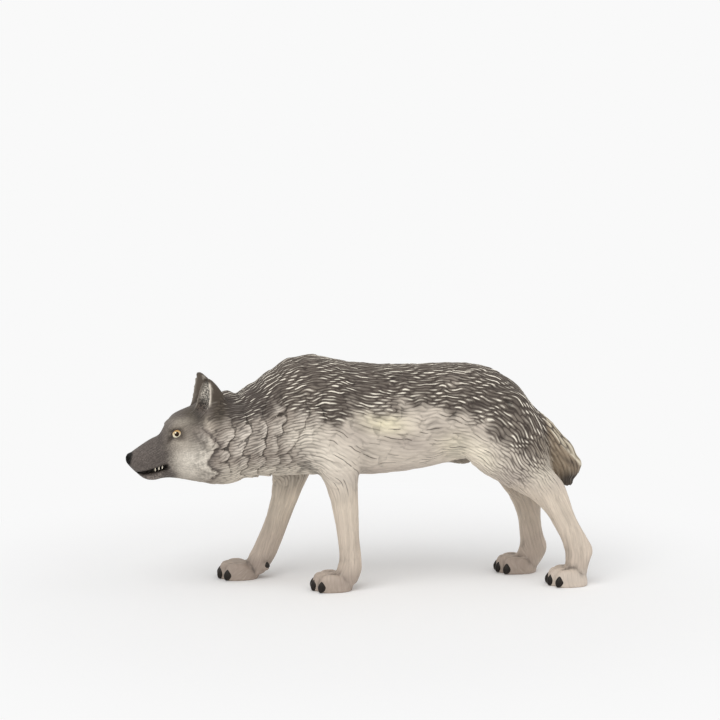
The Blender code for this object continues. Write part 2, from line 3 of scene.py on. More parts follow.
import bmesh
import bpy
import numpy as np
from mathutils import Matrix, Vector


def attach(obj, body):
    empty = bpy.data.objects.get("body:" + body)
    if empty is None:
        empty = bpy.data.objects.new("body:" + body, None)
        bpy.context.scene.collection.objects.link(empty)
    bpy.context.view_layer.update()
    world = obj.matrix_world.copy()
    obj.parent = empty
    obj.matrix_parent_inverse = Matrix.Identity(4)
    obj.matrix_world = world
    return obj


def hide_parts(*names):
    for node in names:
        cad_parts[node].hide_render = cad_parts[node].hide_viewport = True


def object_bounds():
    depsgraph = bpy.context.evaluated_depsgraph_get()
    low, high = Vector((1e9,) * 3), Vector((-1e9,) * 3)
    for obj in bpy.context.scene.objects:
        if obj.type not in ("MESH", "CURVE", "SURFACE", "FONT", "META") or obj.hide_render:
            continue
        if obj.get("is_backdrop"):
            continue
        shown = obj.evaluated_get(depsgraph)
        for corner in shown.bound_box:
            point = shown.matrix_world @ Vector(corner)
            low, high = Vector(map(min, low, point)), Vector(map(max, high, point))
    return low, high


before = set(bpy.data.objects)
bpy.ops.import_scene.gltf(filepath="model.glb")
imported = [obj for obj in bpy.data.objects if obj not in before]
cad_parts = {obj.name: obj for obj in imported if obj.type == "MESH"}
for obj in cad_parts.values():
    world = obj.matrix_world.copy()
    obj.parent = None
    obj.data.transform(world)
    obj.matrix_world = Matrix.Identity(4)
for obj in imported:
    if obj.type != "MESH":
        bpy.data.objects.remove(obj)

# The casting. The whole wolf comes out of one mould in soft vinyl, with the fur carved into it.
# Its skin is the solid's skin in fine even squares, smoothed, then carved: first face, tail and
# toes, then overlapping locks that follow the way the coat lies. Lengths here are in millimetres.
cad_low, cad_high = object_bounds()
MM = 0.001
SKIN_SQUARE = 0.21
SKIN_TRIANGLES = 196000
SMOOTHING_PASSES = 90

# The head is turned to the left about an upright line through the neck. The eye and the ends of the
# mouth are given as they would lie with the head looking straight ahead.
NECK_LINE_X = -26.4
HEAD_TURN = math.radians(8)
EYE = (-45.5, 5.6, 39.05)
LIP_FRONT, LIP_CORNER = (-55.2, 29.25), (-47.8, 31.2)
LIPS_IN, LIP_RIM_OUT = 0.75, 0.2


def ramp(low, high, value):
    """0 below low, 1 above high and an S curve between them."""
    t = np.clip((value - low) / (high - low), 0, 1)
    return t * t * (3 - 2 * t)


def bell(distance, reach):
    """A bell curve: 1 at no distance, about a third at the reach."""
    return np.exp(-((distance / reach) ** 2))


def ripple(points, wavelength, seed):
    """A smooth random field of about -1 to 1: the sum of twenty plane waves in random directions."""
    chance = np.random.default_rng(seed)
    waves = chance.normal(size=(20, 3))
    waves *= 2 * np.pi / wavelength / np.linalg.norm(waves, axis=1)[:, None]
    waves *= chance.uniform(0.7, 1.4, 20)[:, None]
    return np.cos(points @ waves.T + chance.uniform(0, 2 * np.pi, 20)).sum(axis=1) * 0.2


def baked(thing):
    """The mesh of an object with its modifiers carried out."""
    graph = bpy.context.evaluated_depsgraph_get()
    return bpy.data.meshes.new_from_object(thing.evaluated_get(graph), depsgraph=graph)


def read_mesh(mesh):
    """Places in millimetres, unit normals and edge ends of a mesh, as arrays."""
    places = np.empty(len(mesh.vertices) * 3)
    normals = np.empty(len(mesh.vertices) * 3)
    ends = np.empty(len(mesh.edges) * 2, dtype=np.int64)
    mesh.vertices.foreach_get("co", places)
    mesh.vertices.foreach_get("normal", normals)
    mesh.edges.foreach_get("vertices", ends)
    return places.reshape(-1, 3) / MM, normals.reshape(-1, 3), ends.reshape(-1, 2).T


def write_places(mesh, places):
    """Moves the mesh's points to these places in millimetres."""
    mesh.vertices.foreach_set("co", (places * MM).ravel())
    mesh.update()


def neighbour_mean(values, ends):
    """For each point the mean of the values that its neighbours along the edges hold."""
    one, other = ends
    count = len(values)
    links = np.bincount(one, minlength=count) + np.bincount(other, minlength=count)
    sums = [
        np.bincount(one, column[other], count) + np.bincount(other, column[one], count)
        for column in values.reshape(count, -1).T
    ]
    return (np.stack(sums, axis=-1) / links[:, None]).reshape(values.shape)


def blurred(values, ends, rounds):
    """The values after so many rounds of taking the neighbours' mean."""
    for _ in range(rounds):
        values = neighbour_mean(values, ends)
    return values


def unit(vectors):
    """The vectors brought to length 1."""
    return vectors / np.linalg.norm(vectors, axis=1)[:, None]


def hold(mesh, name, values):
    """Gives the mesh an attribute with one number for each point."""
    numbers = values.astype(np.float32)
    mesh.attributes.new(name, "FLOAT", "POINT").data.foreach_set("value", numbers)


def about_neck(places, angle):
    """Points turned by an angle about the upright line through the neck."""
    x, y = places[:, 0] - NECK_LINE_X, places[:, 1]
    cosine, sine = math.cos(angle), math.sin(angle)
    turned_x = NECK_LINE_X + x * cosine - y * sine
    return np.stack([turned_x, y * cosine + x * sine, places[:, 2]], axis=-1)


def straight_head(places):
    """Where points would lie with the head looking straight ahead."""
    return about_neck(places, -HEAD_TURN)


def turned_head(places):
    """The opposite of straight_head."""
    return about_neck(places, HEAD_TURN)


def dabbed(points, dabs):
    """Points pushed by dabs of the tool, alike on both sides of Y = 0.

    A dab has a centre, a reach along X, Y and Z and a push. The push fades as a bell curve of the
    distance from the centre, counted in its own reach.
    """
    points = points.copy()
    side = np.sign(points[:, 1])
    x, across, z = points[:, 0].copy(), np.abs(points[:, 1]), points[:, 2].copy()
    for centre, reach, push in dabs:
        near = np.exp(
            -(((x - centre[0]) / reach[0]) ** 2)
            - ((across - centre[1]) / reach[1]) ** 2
            - ((z - centre[2]) / reach[2]) ** 2
        )
        points[:, 0] += push[0] * near
        points[:, 1] += push[1] * near * side
        points[:, 2] += push[2] * near
    return points


def carved_face(places):
    """The face, dabbed in the straight head's frame, with the lips pressed in and a rim above them."""
    eye_x, eye_out, eye_z = EYE
    dabs = (
        (EYE, (1.5, 2.6, 1.2), (0, -0.75, 0)),  # socket
        ((eye_x + 0.2, eye_out - 0.9, eye_z + 2.0), (2.0, 1.6, 0.7), (-0.1, 0.35, 0.1)),  # brow
        ((eye_x - 1.7, eye_out - 0.8, eye_z - 0.9), (0.9, 2.0, 0.45), (0, -0.35, 0)),  # tear line
        ((eye_x + 0.6, eye_out, eye_z - 1.9), (2.0, 2.0, 0.6), (0, 0.22, 0)),  # cheekbone
        ((-57.3, 1.15, 32.9), (0.55, 0.5, 0.6), (0.7, -0.1, 0)),  # nostril
        ((-56.6, 1.8, 32.3), (0.7, 0.6, 0.35), (0.1, -0.3, 0)),  # nostril's slit
        ((-56.2, 1.2, 34.6), (0.5, 1.6, 0.6), (0, 0, -0.15)),  # step above the nose
        ((-32.9, 0.0, 47.0), (1.6, 3.2, 2.5), (0, 0, 1.2)),  # tuft behind the ears
        ((-29.9, 0.0, 48.0), (1.2, 3.0, 2.0), (0, 0, -0.3)),  # dip behind the tuft
        ((-47.0, 4.3, 41.3), (1.2, 1.6, 1.3), (-0.3, 0, -0.8)),  # front of the brow
        ((-46.8, 0.0, 41.9), (1.3, 3.0, 1.2), (0, 0, -0.35)),  # middle of the forehead
        ((-38.8, 7.3, 52.4), (1.2, 1.4, 1.4), (-0.35, 0, 0.35)),  # ear's tip
    )
    head = dabbed(straight_head(places), dabs)
    side, across = np.sign(head[:, 1]), np.abs(head[:, 1])
    gap, half = lip_gap(head)
    head[:, 1] -= LIPS_IN * side * np.exp(-((gap / half) ** 4)) * (across > 0.5)
    head[:, 1] += LIP_RIM_OUT * side * bell(gap - half - 0.5, 0.35) * (across > 0.5)
    return turned_head(head)


def lip_gap(head):
    """Height above the middle of the open lips, and half of their opening.

    The middle is a line that curves up from the lips' front to their corner. Ahead of the front and
    behind the corner the height grows away from zero, so that the mouth ends there.
    """
    along = (head[:, 0] - LIP_FRONT[0]) / (LIP_CORNER[0] - LIP_FRONT[0])
    share = np.clip(along, 0, 1)
    line = LIP_FRONT[1] + (LIP_CORNER[1] - LIP_FRONT[1]) * share**1.5 - 0.25 * share
    past = np.maximum(np.maximum(-along, along - 1), 0) * 7
    return head[:, 2] - line + np.where(head[:, 2] >= line, past, -past), 0.26 + 0.38 * share


def behind_cheek(head):
    """How far behind the ragged edge of the cheek's fur a point lies, in the straight head's frame."""
    edge = np.interp(
        head[:, 2],
        (26, 27.7, 29.8, 31.5, 32.7, 35, 36.4, 38, 40, 42),
        (-39.5, -38.4, -36.2, -38.6, -39.0, -37.4, -36.4, -37.8, -39.6, -41.0),
    )
    return head[:, 0] - edge - 0.45 * ripple(head, 1.5, 41)


def cheek_sides(head):
    """1 on both sides of the head at the height of the cheeks, 0 elsewhere."""
    level = ramp(26.5, 28.5, head[:, 2]) * (1 - ramp(39.5, 41.5, head[:, 2]))
    return level * ramp(2, 4, np.abs(head[:, 1]))


# The kinds of fur carved on the wolf: the clumps' width, length, relief, how blunt their tips are,
# how far neighbouring columns are staggered and how much of their height they share, then the
# strands' width, length and relief and how far they wave
WIDTH, LENGTH, RELIEF, BLUNT, STAGGER, SHARED, STRAND_WIDTH, STRAND_LENGTH, STRAND_RELIEF, WAVE = range(10)
FUR = {
    "muzzle": (0.9, 2.2, 0.00, 2.0, 1.0, 0.0, 0.36, 1.4, 0.02, 0.06),
    "cheek": (1.7, 3.2, 0.07, 2.0, 1.0, 0.2, 0.42, 2.4, 0.05, 0.12),
    "bib": (2.6, 4.0, 0.38, 3.5, 0.6, 0.3, 0.60, 3.2, 0.09, 0.20),
    "ruff": (8.5, 4.0, 0.80, 9.0, 0.12, 0.75, 0.64, 4.4, 0.13, 0.30),
    "nape": (2.3, 4.4, 0.34, 2.2, 1.0, 0.1, 0.60, 3.2, 0.13, 0.26),
    "back": (3.4, 6.0, 0.48, 2.0, 1.0, 0.1, 0.58, 4.2, 0.16, 0.28),
    "flank": (3.6, 8.0, 0.26, 1.8, 1.0, 0.3, 0.72, 4.4, 0.08, 0.22),
    "thigh": (3.6, 7.0, 0.46, 2.0, 1.0, 0.1, 0.56, 4.2, 0.15, 0.24),
    "leg": (2.2, 6.0, 0.05, 2.0, 1.0, 0.2, 0.55, 4.0, 0.04, 0.12),
    "tail": (2.4, 9.0, 0.30, 1.6, 1.0, 0.2, 0.85, 8.0, 0.12, 0.14),
}

# How the coat lies, as groomed in side view: x, z, the lie as x and z, and the kind of fur
GROOMING = (
    (-57, 33, 1.0, 0.30, "muzzle"),
    (-52, 36, 1.0, 0.45, "muzzle"),
    (-52, 30, 1.0, -0.05, "muzzle"),
    (-46, 43, 1.0, 0.45, "muzzle"),
    (-47, 36, 1.0, -0.15, "muzzle"),
    (-44, 33, 1.0, -0.20, "cheek"),
    (-46, 28, 1.0, -0.35, "cheek"),
    (-40, 40, 1.0, -0.05, "cheek"),
    (-40, 34, 1.0, -0.20, "cheek"),
    (-41, 28, 1.0, -0.30, "cheek"),
    (-37, 28, 1.0, -0.25, "bib"),
    (-38, 46, 1.0, 0.25, "cheek"),
    (-35, 39, 1.0, -0.05, "ruff"),
    (-34, 33, 1.0, -0.15, "ruff"),
    (-32, 27, 1.0, -0.20, "bib"),
    (-29, 48, 1.0, 0.40, "nape"),
    (-28, 41, 1.0, 0.05, "ruff"),
    (-27, 35, 1.0, -0.10, "ruff"),
    (-26, 29, 1.0, -0.10, "ruff"),
    (-21, 53, 1.0, 0.40, "nape"),
    (-20, 46, 1.0, 0.05, "ruff"),
    (-19, 39, 1.0, -0.10, "ruff"),
    (-18, 31, 1.0, -0.30, "bib"),
    (-13, 57, 1.0, 0.05, "back"),
    (-13, 51, 1.0, 0.15, "nape"),
    (-12, 44, 1.0, -0.15, "ruff"),
    (-10, 37, 0.75, -0.65, "flank"),
    (-8, 30, 0.35, -1.0, "flank"),
    (-4, 20, 0.05, -1.0, "leg"),
    (-4, 8, 0.0, -1.0, "leg"),
    (-14, 22, -0.45, -1.0, "leg"),
    (-22, 9, -0.40, -1.0, "leg"),
    (-5, 55, 1.0, -0.10, "back"),
    (-4, 48, 1.0, -0.35, "back"),
    (0, 41, 0.8, -0.60, "flank"),
    (3, 33, 0.9, -0.50, "flank"),
    (4, 52, 1.0, -0.15, "back"),
    (5, 46, 1.0, -0.30, "back"),
    (10, 40, 0.85, -0.55, "flank"),
    (12, 33, 0.9, -0.50, "flank"),
    (14, 52, 1.0, -0.05, "back"),
    (14, 46, 1.0, -0.30, "back"),
    (20, 38, 1.0, -0.45, "flank"),
    (21, 32, 1.0, -0.15, "flank"),
    (24, 53, 1.0, -0.35, "back"),
    (23, 46, 0.75, -0.70, "back"),
    (27, 36, 0.8, -0.65, "flank"),
    (33, 51, 1.0, -0.50, "back"),
    (33, 44, 0.75, -0.70, "thigh"),
    (33, 34, 0.75, -0.75, "thigh"),
    (42, 46, 0.65, -0.80, "thigh"),
    (42, 37, 0.50, -0.90, "thigh"),
    (41, 28, 0.75, -0.75, "thigh"),
    (48, 21, 0.45, -0.95, "leg"),
    (52, 10, 0.25, -1.0, "leg"),
)

# How far each row is felt, and how strongly the coat spreads outward from the middle plane
GROOMED_REACH = 3.6
SPREAD = 0.18

# The golden section sets each column of locks off against the one beside it
GOLDEN = 0.618034

# The paws: how high they reach, the x and y of the middle of each one's toes, and how far back the
# coat's toes are drawn
PAW_TOP = 5.4
TOE_TIPS = ((-13.27, -7.5), (-35.77, 7.5), (45.23, -7.6), (34.93, 7.6))
TOES_BACK = 0.55


def tail_share(places):
    """1 on the tail, 0 elsewhere: behind a slanting line and near the middle plane."""
    behind = ramp(0, 1.6, places[:, 0] - 44.2 - 0.16 * (46 - places[:, 2]))
    middle = 1 - ramp(3.6, 4.6, np.abs(places[:, 1] - 0.6))
    return behind * middle * ramp(21, 23, places[:, 2])


def groomed(places, normals):
    """At each point the lie of the coat along the skin, and the ten sizes of its fur.

    They are the rows of GROOMING weighted by a bell curve of the distance in side view. The lie also
    spreads a little outward from the middle plane, and the relief fades out on the paws.
    """
    total = np.full((len(places), 1), 1e-12)
    mixed = np.zeros((len(places), 12))
    for at_x, at_z, lie_x, lie_z, kind in GROOMING:
        apart = (places[:, 0] - at_x) ** 2 + (places[:, 2] - at_z) ** 2
        weight = np.exp(-apart / 2 / GROOMED_REACH**2)[:, None]
        total += weight
        mixed += weight * np.array((lie_x, lie_z) + FUR[kind])
    mixed /= total
    tail = tail_share(places)[:, None]
    form = mixed[:, 2:] * (1 - tail) + np.array(FUR["tail"]) * tail
    fades = ramp(PAW_TOP - 3, PAW_TOP, places[:, 2])
    form[:, RELIEF] *= fades
    form[:, STRAND_RELIEF] *= fades
    lie = np.stack([mixed[:, 0], SPREAD * np.tanh(places[:, 1] / 2), mixed[:, 1]], axis=-1)
    lie -= np.sum(lie * normals, axis=1)[:, None] * normals
    lie /= np.linalg.norm(lie, axis=1)[:, None] + 1e-9
    return lie, form


def nearest_steps(field, ends, wanted, rounds):
    """The field changed so that its steps along the edges come nearest to the wanted ones.

    The search is by conjugate gradients, in so many rounds.
    """
    one, other = ends
    count = len(field)

    def gathered(steps):
        return np.bincount(other, steps, count) - np.bincount(one, steps, count)

    field = field.copy()
    rest = gathered(wanted - (field[other] - field[one]))
    push = rest.copy()
    size = rest @ rest
    for _ in range(rounds):
        bent = gathered(push[other] - push[one])
        share = size / (push @ bent)
        field += share * push
        rest -= share * bent
        size, before = rest @ rest, size
        push = rest + push * (size / before)
    return field


def wanted_steps(places, ends, slope):
    """How much a field with this slope grows along each edge."""
    one, other = ends
    return np.sum((slope[one] + slope[other]) / 2 * (places[other] - places[one]), axis=1)


def settled(places, ends, cells, slope):
    """The field over the skin whose slope comes nearest to this one.

    It is found first between the middles of coarse cells, then between the points.
    """
    counts = np.bincount(cells)[:, None]
    middles = np.stack([np.bincount(cells, column) for column in places.T], axis=-1) / counts
    leans = np.stack([np.bincount(cells, column) for column in slope.T], axis=-1) / counts
    pairs = np.unique(np.sort(cells[ends][:, cells[ends[0]] != cells[ends[1]]], axis=0), axis=1)
    coarse = nearest_steps(np.zeros(len(counts)), pairs, wanted_steps(middles, pairs, leans), 700)
    field = coarse[cells] + np.sum(leans[cells] * (places - middles[cells]), axis=1)
    return nearest_steps(field, ends, wanted_steps(places, ends, slope), 50)


def clump_height(across, along, blunt, stagger, shared):
    """Height of the clumps, 0 to 1: half-ellipses across, rising to the tip, where they narrow and stop."""
    column = np.floor(across)
    crest = np.abs(across - column - 0.5)
    reach = along + (column * GOLDEN % 1) * stagger
    reach -= np.floor(reach)
    half = 0.5 * (1 - reach**blunt) + 0.001
    crown = np.sqrt(np.clip(1 - (crest / half) ** 2, 0, 1))
    crown = crown * (1 - shared) + shared * (crown > 0)
    return crown * (0.35 + 0.65 * reach)


def clumped(across, along, blunt, stagger, shared):
    """Two layers of clumps, the second moved by half a clump both ways, with the higher one showing."""
    under = clump_height(across + 0.5, along + 0.5, blunt, stagger, shared)
    under *= 0.9 * ramp(0.3, 0.8, stagger)
    return np.maximum(clump_height(across, along, blunt, stagger, shared), under)


def strand_height(across, along):
    """Height of the strands, 0 to 1: ridges side by side, each a spindle that tapers at both ends."""
    column = np.floor(across)
    crest = across - column - 0.5
    reach = along + column * GOLDEN
    reach -= np.floor(reach)
    return np.maximum(1 - np.abs(2 * reach - 1) ** 2.6 - 4 * crest**2, 0)


# The solid's skin is copied, its doubled points are merged, and it is laid out anew in even squares
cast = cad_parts["wolf"].data.copy()
merge = bmesh.new()
merge.from_mesh(cast)
bmesh.ops.remove_doubles(merge, verts=merge.verts[:], dist=1e-7)
merge.to_mesh(cast)
merge.free()
wolf_coat = bpy.data.objects.new("wolf_coat", cast)
bpy.context.collection.objects.link(wolf_coat)
squares = wolf_coat.modifiers.new("squares", "REMESH")
squares.mode = "VOXEL"
squares.voxel_size = SKIN_SQUARE * MM
skin = baked(wolf_coat)
wolf_coat.modifiers.clear()
wolf_coat.data = skin

# The skin is smoothed but for the forms to be kept: face, paws, ears, legs, tail and sheath
places, _, ends = read_mesh(skin)
head = straight_head(places)
face = 1 - ramp(-41, -37, head[:, 0])
paws = 1 - ramp(4, 7, places[:, 2])
ears = ramp(0, 1.2, places[:, 2] - 44.8 - 0.38 * (head[:, 0] + 40)) * (head[:, 0] < -30)
legs = 1 - ramp(20, 27, places[:, 2])
sheath = np.exp(-(((places[:, 0] - 25) / 4) ** 2) - ((places[:, 2] - 30) / 1.5) ** 2)
sheath *= np.abs(places[:, 1]) < 2.5
keep = 0.9 * face + 0.9 * paws + 0.97 * ears + 0.8 * legs + 0.5 * tail_share(places) + sheath
ease = 0.62 * (1 - np.clip(keep, 0, 0.97))[:, None]
for _ in range(SMOOTHING_PASSES):
    places += (neighbour_mean(places, ends) - places) * ease
places = carved_face(places)
tail_dabs = (
    ((54.3, 0.6, 29.2), (1.6, 4.0, 1.5), (1.0, 0, 0.0)),
    ((52.6, 0.6, 33.0), (2.0, 4.0, 2.6), (0.5, 0, 0.35)),
    ((53.6, 0.6, 24.9), (1.6, 4.0, 1.4), (-0.9, 0, 0.5)),
)
paw_dabs = [
    ((tip_x + 0.5, abs(paw_y), 2.0), (3.0, 5.0, 4.0), (TOES_BACK, 0, 0))
    for tip_x, paw_y in TOE_TIPS
]
places = dabbed(places, (*tail_dabs, *paw_dabs))
write_places(skin, places)

normals = unit(blurred(read_mesh(skin)[1], ends, 12))
lie, form = groomed(places, normals)
form[:, RELIEF] *= 1 + 0.35 * np.clip(ripple(places, 8, 11), -1, 1)

# Columns are counted round the body over the back. They turn about on the inner sides of the legs and
# part along the middle of the belly and throat, so edges that cross the middle there are left out.
tail = tail_share(places)
head = straight_head(places)
middle = np.where(places[:, 0] < NECK_LINE_X, head[:, 1], places[:, 1] - 0.6 * tail)
upward = normals[:, 2] + 0.8 * tail * normals[:, 0]
turned = np.where(upward > 0.3, 1, np.tanh(normals[:, 1] * np.sign(middle) / 0.08))
beside = np.cross(normals, lie) * turned[:, None]
boxes = np.column_stack([np.floor(places / 1.2), normals[:, 1] > 0, middle > 0]).astype(np.int64)
_, cells = np.unique(boxes @ (1, 1000, 10**6, 10**9, 2 * 10**9), return_inverse=True)
joined = ends[:, (middle[ends[0]] * middle[ends[1]] > 0) | (upward[ends[0]] > 0)]
clump_across = settled(places, joined, cells, beside / form[:, WIDTH, None])
clump_along = settled(places, ends, cells, lie / form[:, LENGTH, None])
across = settled(places, joined, cells, beside / form[:, STRAND_WIDTH, None])
along = settled(places, ends, cells, lie / form[:, STRAND_LENGTH, None])

# The columns and rows are made to wander a little, and the heights of clumps and strands added up
clump_across += ripple(places, 10, 3) / form[:, WIDTH]
clump_along += (0.7 * ripple(places, 9, 4) + 0.5 * ripple(places, 3.2, 6)) / form[:, LENGTH]
wander = ripple(places, 5.5, 7) + 0.4 * ripple(places, 3.0, 8)
across += form[:, WAVE] * wander / form[:, STRAND_WIDTH]
along += 1.2 * ripple(places, 6, 9) / form[:, STRAND_LENGTH]
clump = clumped(clump_across, clump_along, form[:, BLUNT], form[:, STAGGER], form[:, SHARED])
soft = blurred(clump, ends, 14)
crisp = 0.42 + 0.58 * ramp(0.50, 0.75, form[:, RELIEF])
clump = soft + (clump - soft) * crisp
strand = strand_height(across, along)
rise = (clump - 0.45) * form[:, RELIEF] + (strand - 0.4) * form[:, STRAND_RELIEF]
past = behind_cheek(head)
rise += 0.6 * ramp(-3.2, -0.3, past) * (1 - ramp(-0.1, 0.25, past)) * cheek_sides(head)
places += normals * (rise * (1 - 0.9 * ears))[:, None]

# The tail's locks also hang past one another at its tip, and nothing reaches below the ground
fringe = tail * (1 - ramp(25, 31, places[:, 2]))
places += lie * (fringe * (1.5 * clump + 0.5 * strand - 0.8))[:, None]
places[:, 2] = np.maximum(places[:, 2], 0)
write_places(skin, places)
hold(skin, "across", across)
hold(skin, "along", along)
hold(skin, "clump", clump)

# The carved skin is thinned where it is nearly flat
skin.calc_loop_triangles()
thin = wolf_coat.modifiers.new("thin", "DECIMATE")
thin.ratio = min(1.0, SKIN_TRIANGLES / len(skin.loop_triangles))
coat_mesh = baked(wolf_coat)
wolf_coat.modifiers.clear()
wolf_coat.data = coat_mesh
coat_mesh.name = "wolf_coat"
coat_mesh.shade_smooth()

# The paint on the coat. Matt vinyl paint: a warm cream ground, soft airbrushed greys and umbers over
# it, a dark wash in the grooves and hollows that also stands for painted shade there, and bone white
# dry-brushed along the crests of the locks.
CREAM, BONE, STONE = "#dccfbd", "#f0e8d8", "#cfc4b7"
MAUVE, TAUPE, UMBER, SOOT = "#a3978f", "#8f8174", "#645b53", "#453d36"

# A place that lies this far below its neighbourhood, in millimetres, counts as a full hollow
FULL_HOLLOW = 0.12


def linear(code):
    """A colour written as sRGB hex, as linear red, green and blue."""
    parts = np.array([int(code[i : i + 2], 16) for i in (1, 3, 5)]) / 255
    return np.where(parts <= 0.04045, parts / 12.92, ((parts + 0.055) / 1.055) ** 2.4)


def spray(code, cover):
    """Lays a paint of this code over the coat's colour, as thickly as cover says from 0 to 1."""
    cover = np.clip(cover, 0, 1)[:, None]
    colour[:] = colour * (1 - cover) + linear(code) * cover


def spot(x, z, centre, reach, tilt=0.0):
    """A soft airbrushed oval in side view: a bell curve of the distance, its long way tilted."""
    cosine, sine = math.cos(tilt), math.sin(tilt)
    lengthways = (x - centre[0]) * cosine + (z - centre[1]) * sine
    sideways = (z - centre[1]) * cosine - (x - centre[0]) * sine
    return np.exp(-((lengthways / reach[0]) ** 2) - (sideways / reach[1]) ** 2)


def spray_patches(patches):
    """Lays on a patch of paint for each row: its code, then ovals, each with its cover first."""
    for code, *ovals in patches:
        spray(code, sum(cover * spot(x, z, *oval) for cover, *oval in ovals))


places, normals, ends = read_mesh(coat_mesh)
count = len(places)
carried = np.empty((3, count), dtype=np.float32)
for name, values in zip(("across", "along", "clump"), carried):
    coat_mesh.attributes[name].data.foreach_get("value", values)
clump = carried[2]
soft_normals = unit(blurred(normals, ends, 10))
near = blurred(places, ends, 6)
hollow = np.clip(np.sum((near - places) * normals, axis=1) / FULL_HOLLOW, -1, 1)
lie, form = groomed(places, soft_normals)
x, y, z = places.T
head = straight_head(places)
hx, hy, hz = head[:, 0], np.abs(head[:, 1]), head[:, 2]
tail = tail_share(places)
drift = 1.3 * ripple(places, 12, 21) + 1.2 * ripple(places, 5, 22) + 0.6 * ripple(places, 2.5, 23)

# Zones, each 0 to 1: legs, their inner sides, the dark saddle over the back and thighs, and the ruff
legs = 1 - ramp(21, 29, z + drift * 0.6)
inner = ramp(0.1, 0.7, soft_normals[:, 1] * np.where(y < 0, 1, -1)) * (1 - ramp(24, 32, z))
saddle_edge = np.interp(
    x,
    (-40, -32, -24, -16, -8, 0, 8, 16, 22, 27, 32, 37, 43, 48),
    (43, 44.5, 44, 45, 43.5, 43.5, 46, 46, 44.5, 42.5, 38.5, 34.5, 32, 34),
)
saddle = ramp(-2.6, 2.6, z + drift + 1.2 * (clump - 0.5) - saddle_edge) * ramp(-39, -33, x)
ruff = (1 - ramp(-14, -6, x)) * ramp(-40, -36, hx) * (1 - legs)

colour = np.tile(linear(CREAM), (count, 1))
spray(STONE, 0.8 * (1 - legs) * ramp(-16, -8, x))
# The ruff: a dark mauve grey, left darkest at the foot of each tier as painted shade where the tip of the
# tier in front overlaps it, and paler toward each tier's tip
spray("#85796f", 0.92 * ruff)
tips = (0.18 + 0.75 * ramp(0.40, 0.90, clump)) * (0.75 + 0.25 * ripple(places, 6, 31))
spray("#d2c8bc", ruff * tips)
shoulder = spot(x, z, (-14.7, 38.4), (4, 3.5))
spray("#cfc5b6", ruff * (0.9 * (1 - ramp(29, 33, z)) + 0.8 * shoulder))
spray("#d8cec2", 0.5 * spot(x, z, (-28.2, 38.4), (4.5, 3)))
# Mauve grey low on the belly, partly its own grey and partly painted shade on the underside
belly = (1 - legs) * (1 - ramp(28, 32, z)) * ramp(-8, 2, x)
spray(MAUVE, 0.5 * belly)
spray_patches((
    (MAUVE, (0.65, (9, 37.4), (7, 2.4), -0.3), (0.45, (20, 39), (6, 2.5), -0.4)),
    (MAUVE, (0.45, (27, 38), (2.2, 4.0), 0.2), (0.4, (-2, 40), (4, 4))),
    ("#ebe1c3", (0.9, (5, 41.5), (5.5, 2.6), -0.2), (0.4, (22, 36), (4, 3))),
    # The next row's second oval is painted light: paler paint in the flank's fold before the thigh, where
    # it would otherwise lie in shade
    ("#ebe1cd", (0.9, (29, 33), (2.4, 5.0), 0.6), (0.8, (23.5, 33.5), (2.5, 3.5))),
    ("#e6dccd", (0.85, (-10, 33), (5, 4.5)), (0.6, (-14, 39), (4, 3))),
    ("#e4dac9", (0.7, (44, 28.5), (4, 3.5))),
))
# The legs' inner sides are painted taupe, partly their own colour and partly painted shade under the body,
# more on the hind legs and low down
shaded = np.maximum(ramp(0, 10, x), 1 - ramp(12, 21, z))
spray(TAUPE, inner * (0.12 + 0.38 * shaded))
# Painted shade: the legs darken toward the ground and the paws darker still, most low on the inner sides,
# where less light reaches
lower = np.clip(1 - z / 20, 0, 1)
spray("#bcad9f", legs * (0.40 + 0.60 * lower) * (1 - 0.5 * inner * (z > 12)))
pawed = np.interp(x, (-20, -12, 10, 20, 34, 41, 44), (0.95, 0.8, 0.8, 0.75, 0.85, 0.75, 0.3))
pawed = pawed * (1 - ramp(2.5, 7.5, z))
spray("#9d8f84", pawed + 0.35 * inner * (1 - ramp(4, 14, z)))
spray("#d9cec1", 0.4 * ramp(44, 48, x) * (1 - ramp(2.5, 5, z)))
thigh = np.clip(1.3 * spot(x, z, (40.5, 33), (7, 7)), 0, 1) * (1 - tail) * ramp(24, 30, z + drift)
spray("#958b80", 0.34 * thigh)
spray("#e4dac9", 0.5 * spot(x, z, (44.2, 28.4), (3, 2.2)))
spray(UMBER, 0.97 * saddle)
darkest = 0.35 * saddle * spot(x, z, (-10, 46), (9, 5))
darkest += 0.4 * saddle * spot(x, z, (36, 48), (8, 5), -0.6)
spray(SOOT, darkest)
spray("#8d8172", 0.75 * spot(x, z, (44, 34.5), (3.2, 4.6), 0.1) * (1 - legs))
spray_patches((
    ("#9a9085", (0.8, (4.9, 45.6), (3.5, 2)), (0.75, (22.1, 50.6), (3.2, 1.6))),
    ("#8f8579", (0.6, (36.5, 40.5), (4.5, 3), -0.8), (0.5, (-14, 49), (4, 2.5))),
))

# The tail: brown-grey, paler past a cream line down its side, with a black tip and a dark bar of
# painted shade along a fold
strip = z - np.interp(x, (44, 46.4, 49.5, 54.0, 56), (43, 39.9, 35.2, 30.3, 28.5)) + 0.15 * drift
spray("#93836f", tail)
spray("#b5aa95", 0.85 * tail * ramp(-0.3, 0.5, strip))
spray("#e9dfca", 0.85 * tail * bell(strip, 0.4) * (np.abs(y - 0.6) > 0.8))
tip = spot(x, z, (52.8, 24.8), (3.8, 2.5), -0.3)
# Painted shade: a dark bar along the fold near the tail's tip
fold_shade = spot(x, z, (52.6, 29.7), (3.0, 0.7), -0.5)
spray(SOOT, tail * (1.25 * tip + 0.6 * fold_shade))

# The bare sheath under the belly, outlined in brown
oval = np.hypot((x - 25.2) / 2.9, (z - 29.9) / 1.3) + 9 * (np.abs(y + 0.6) > 2.2)
spray("#5a5048", 0.6 * bell(oval - 1.08, 0.14))
spray("#857b6f", 0.9 * (1 - ramp(0.85, 1.05, oval)))

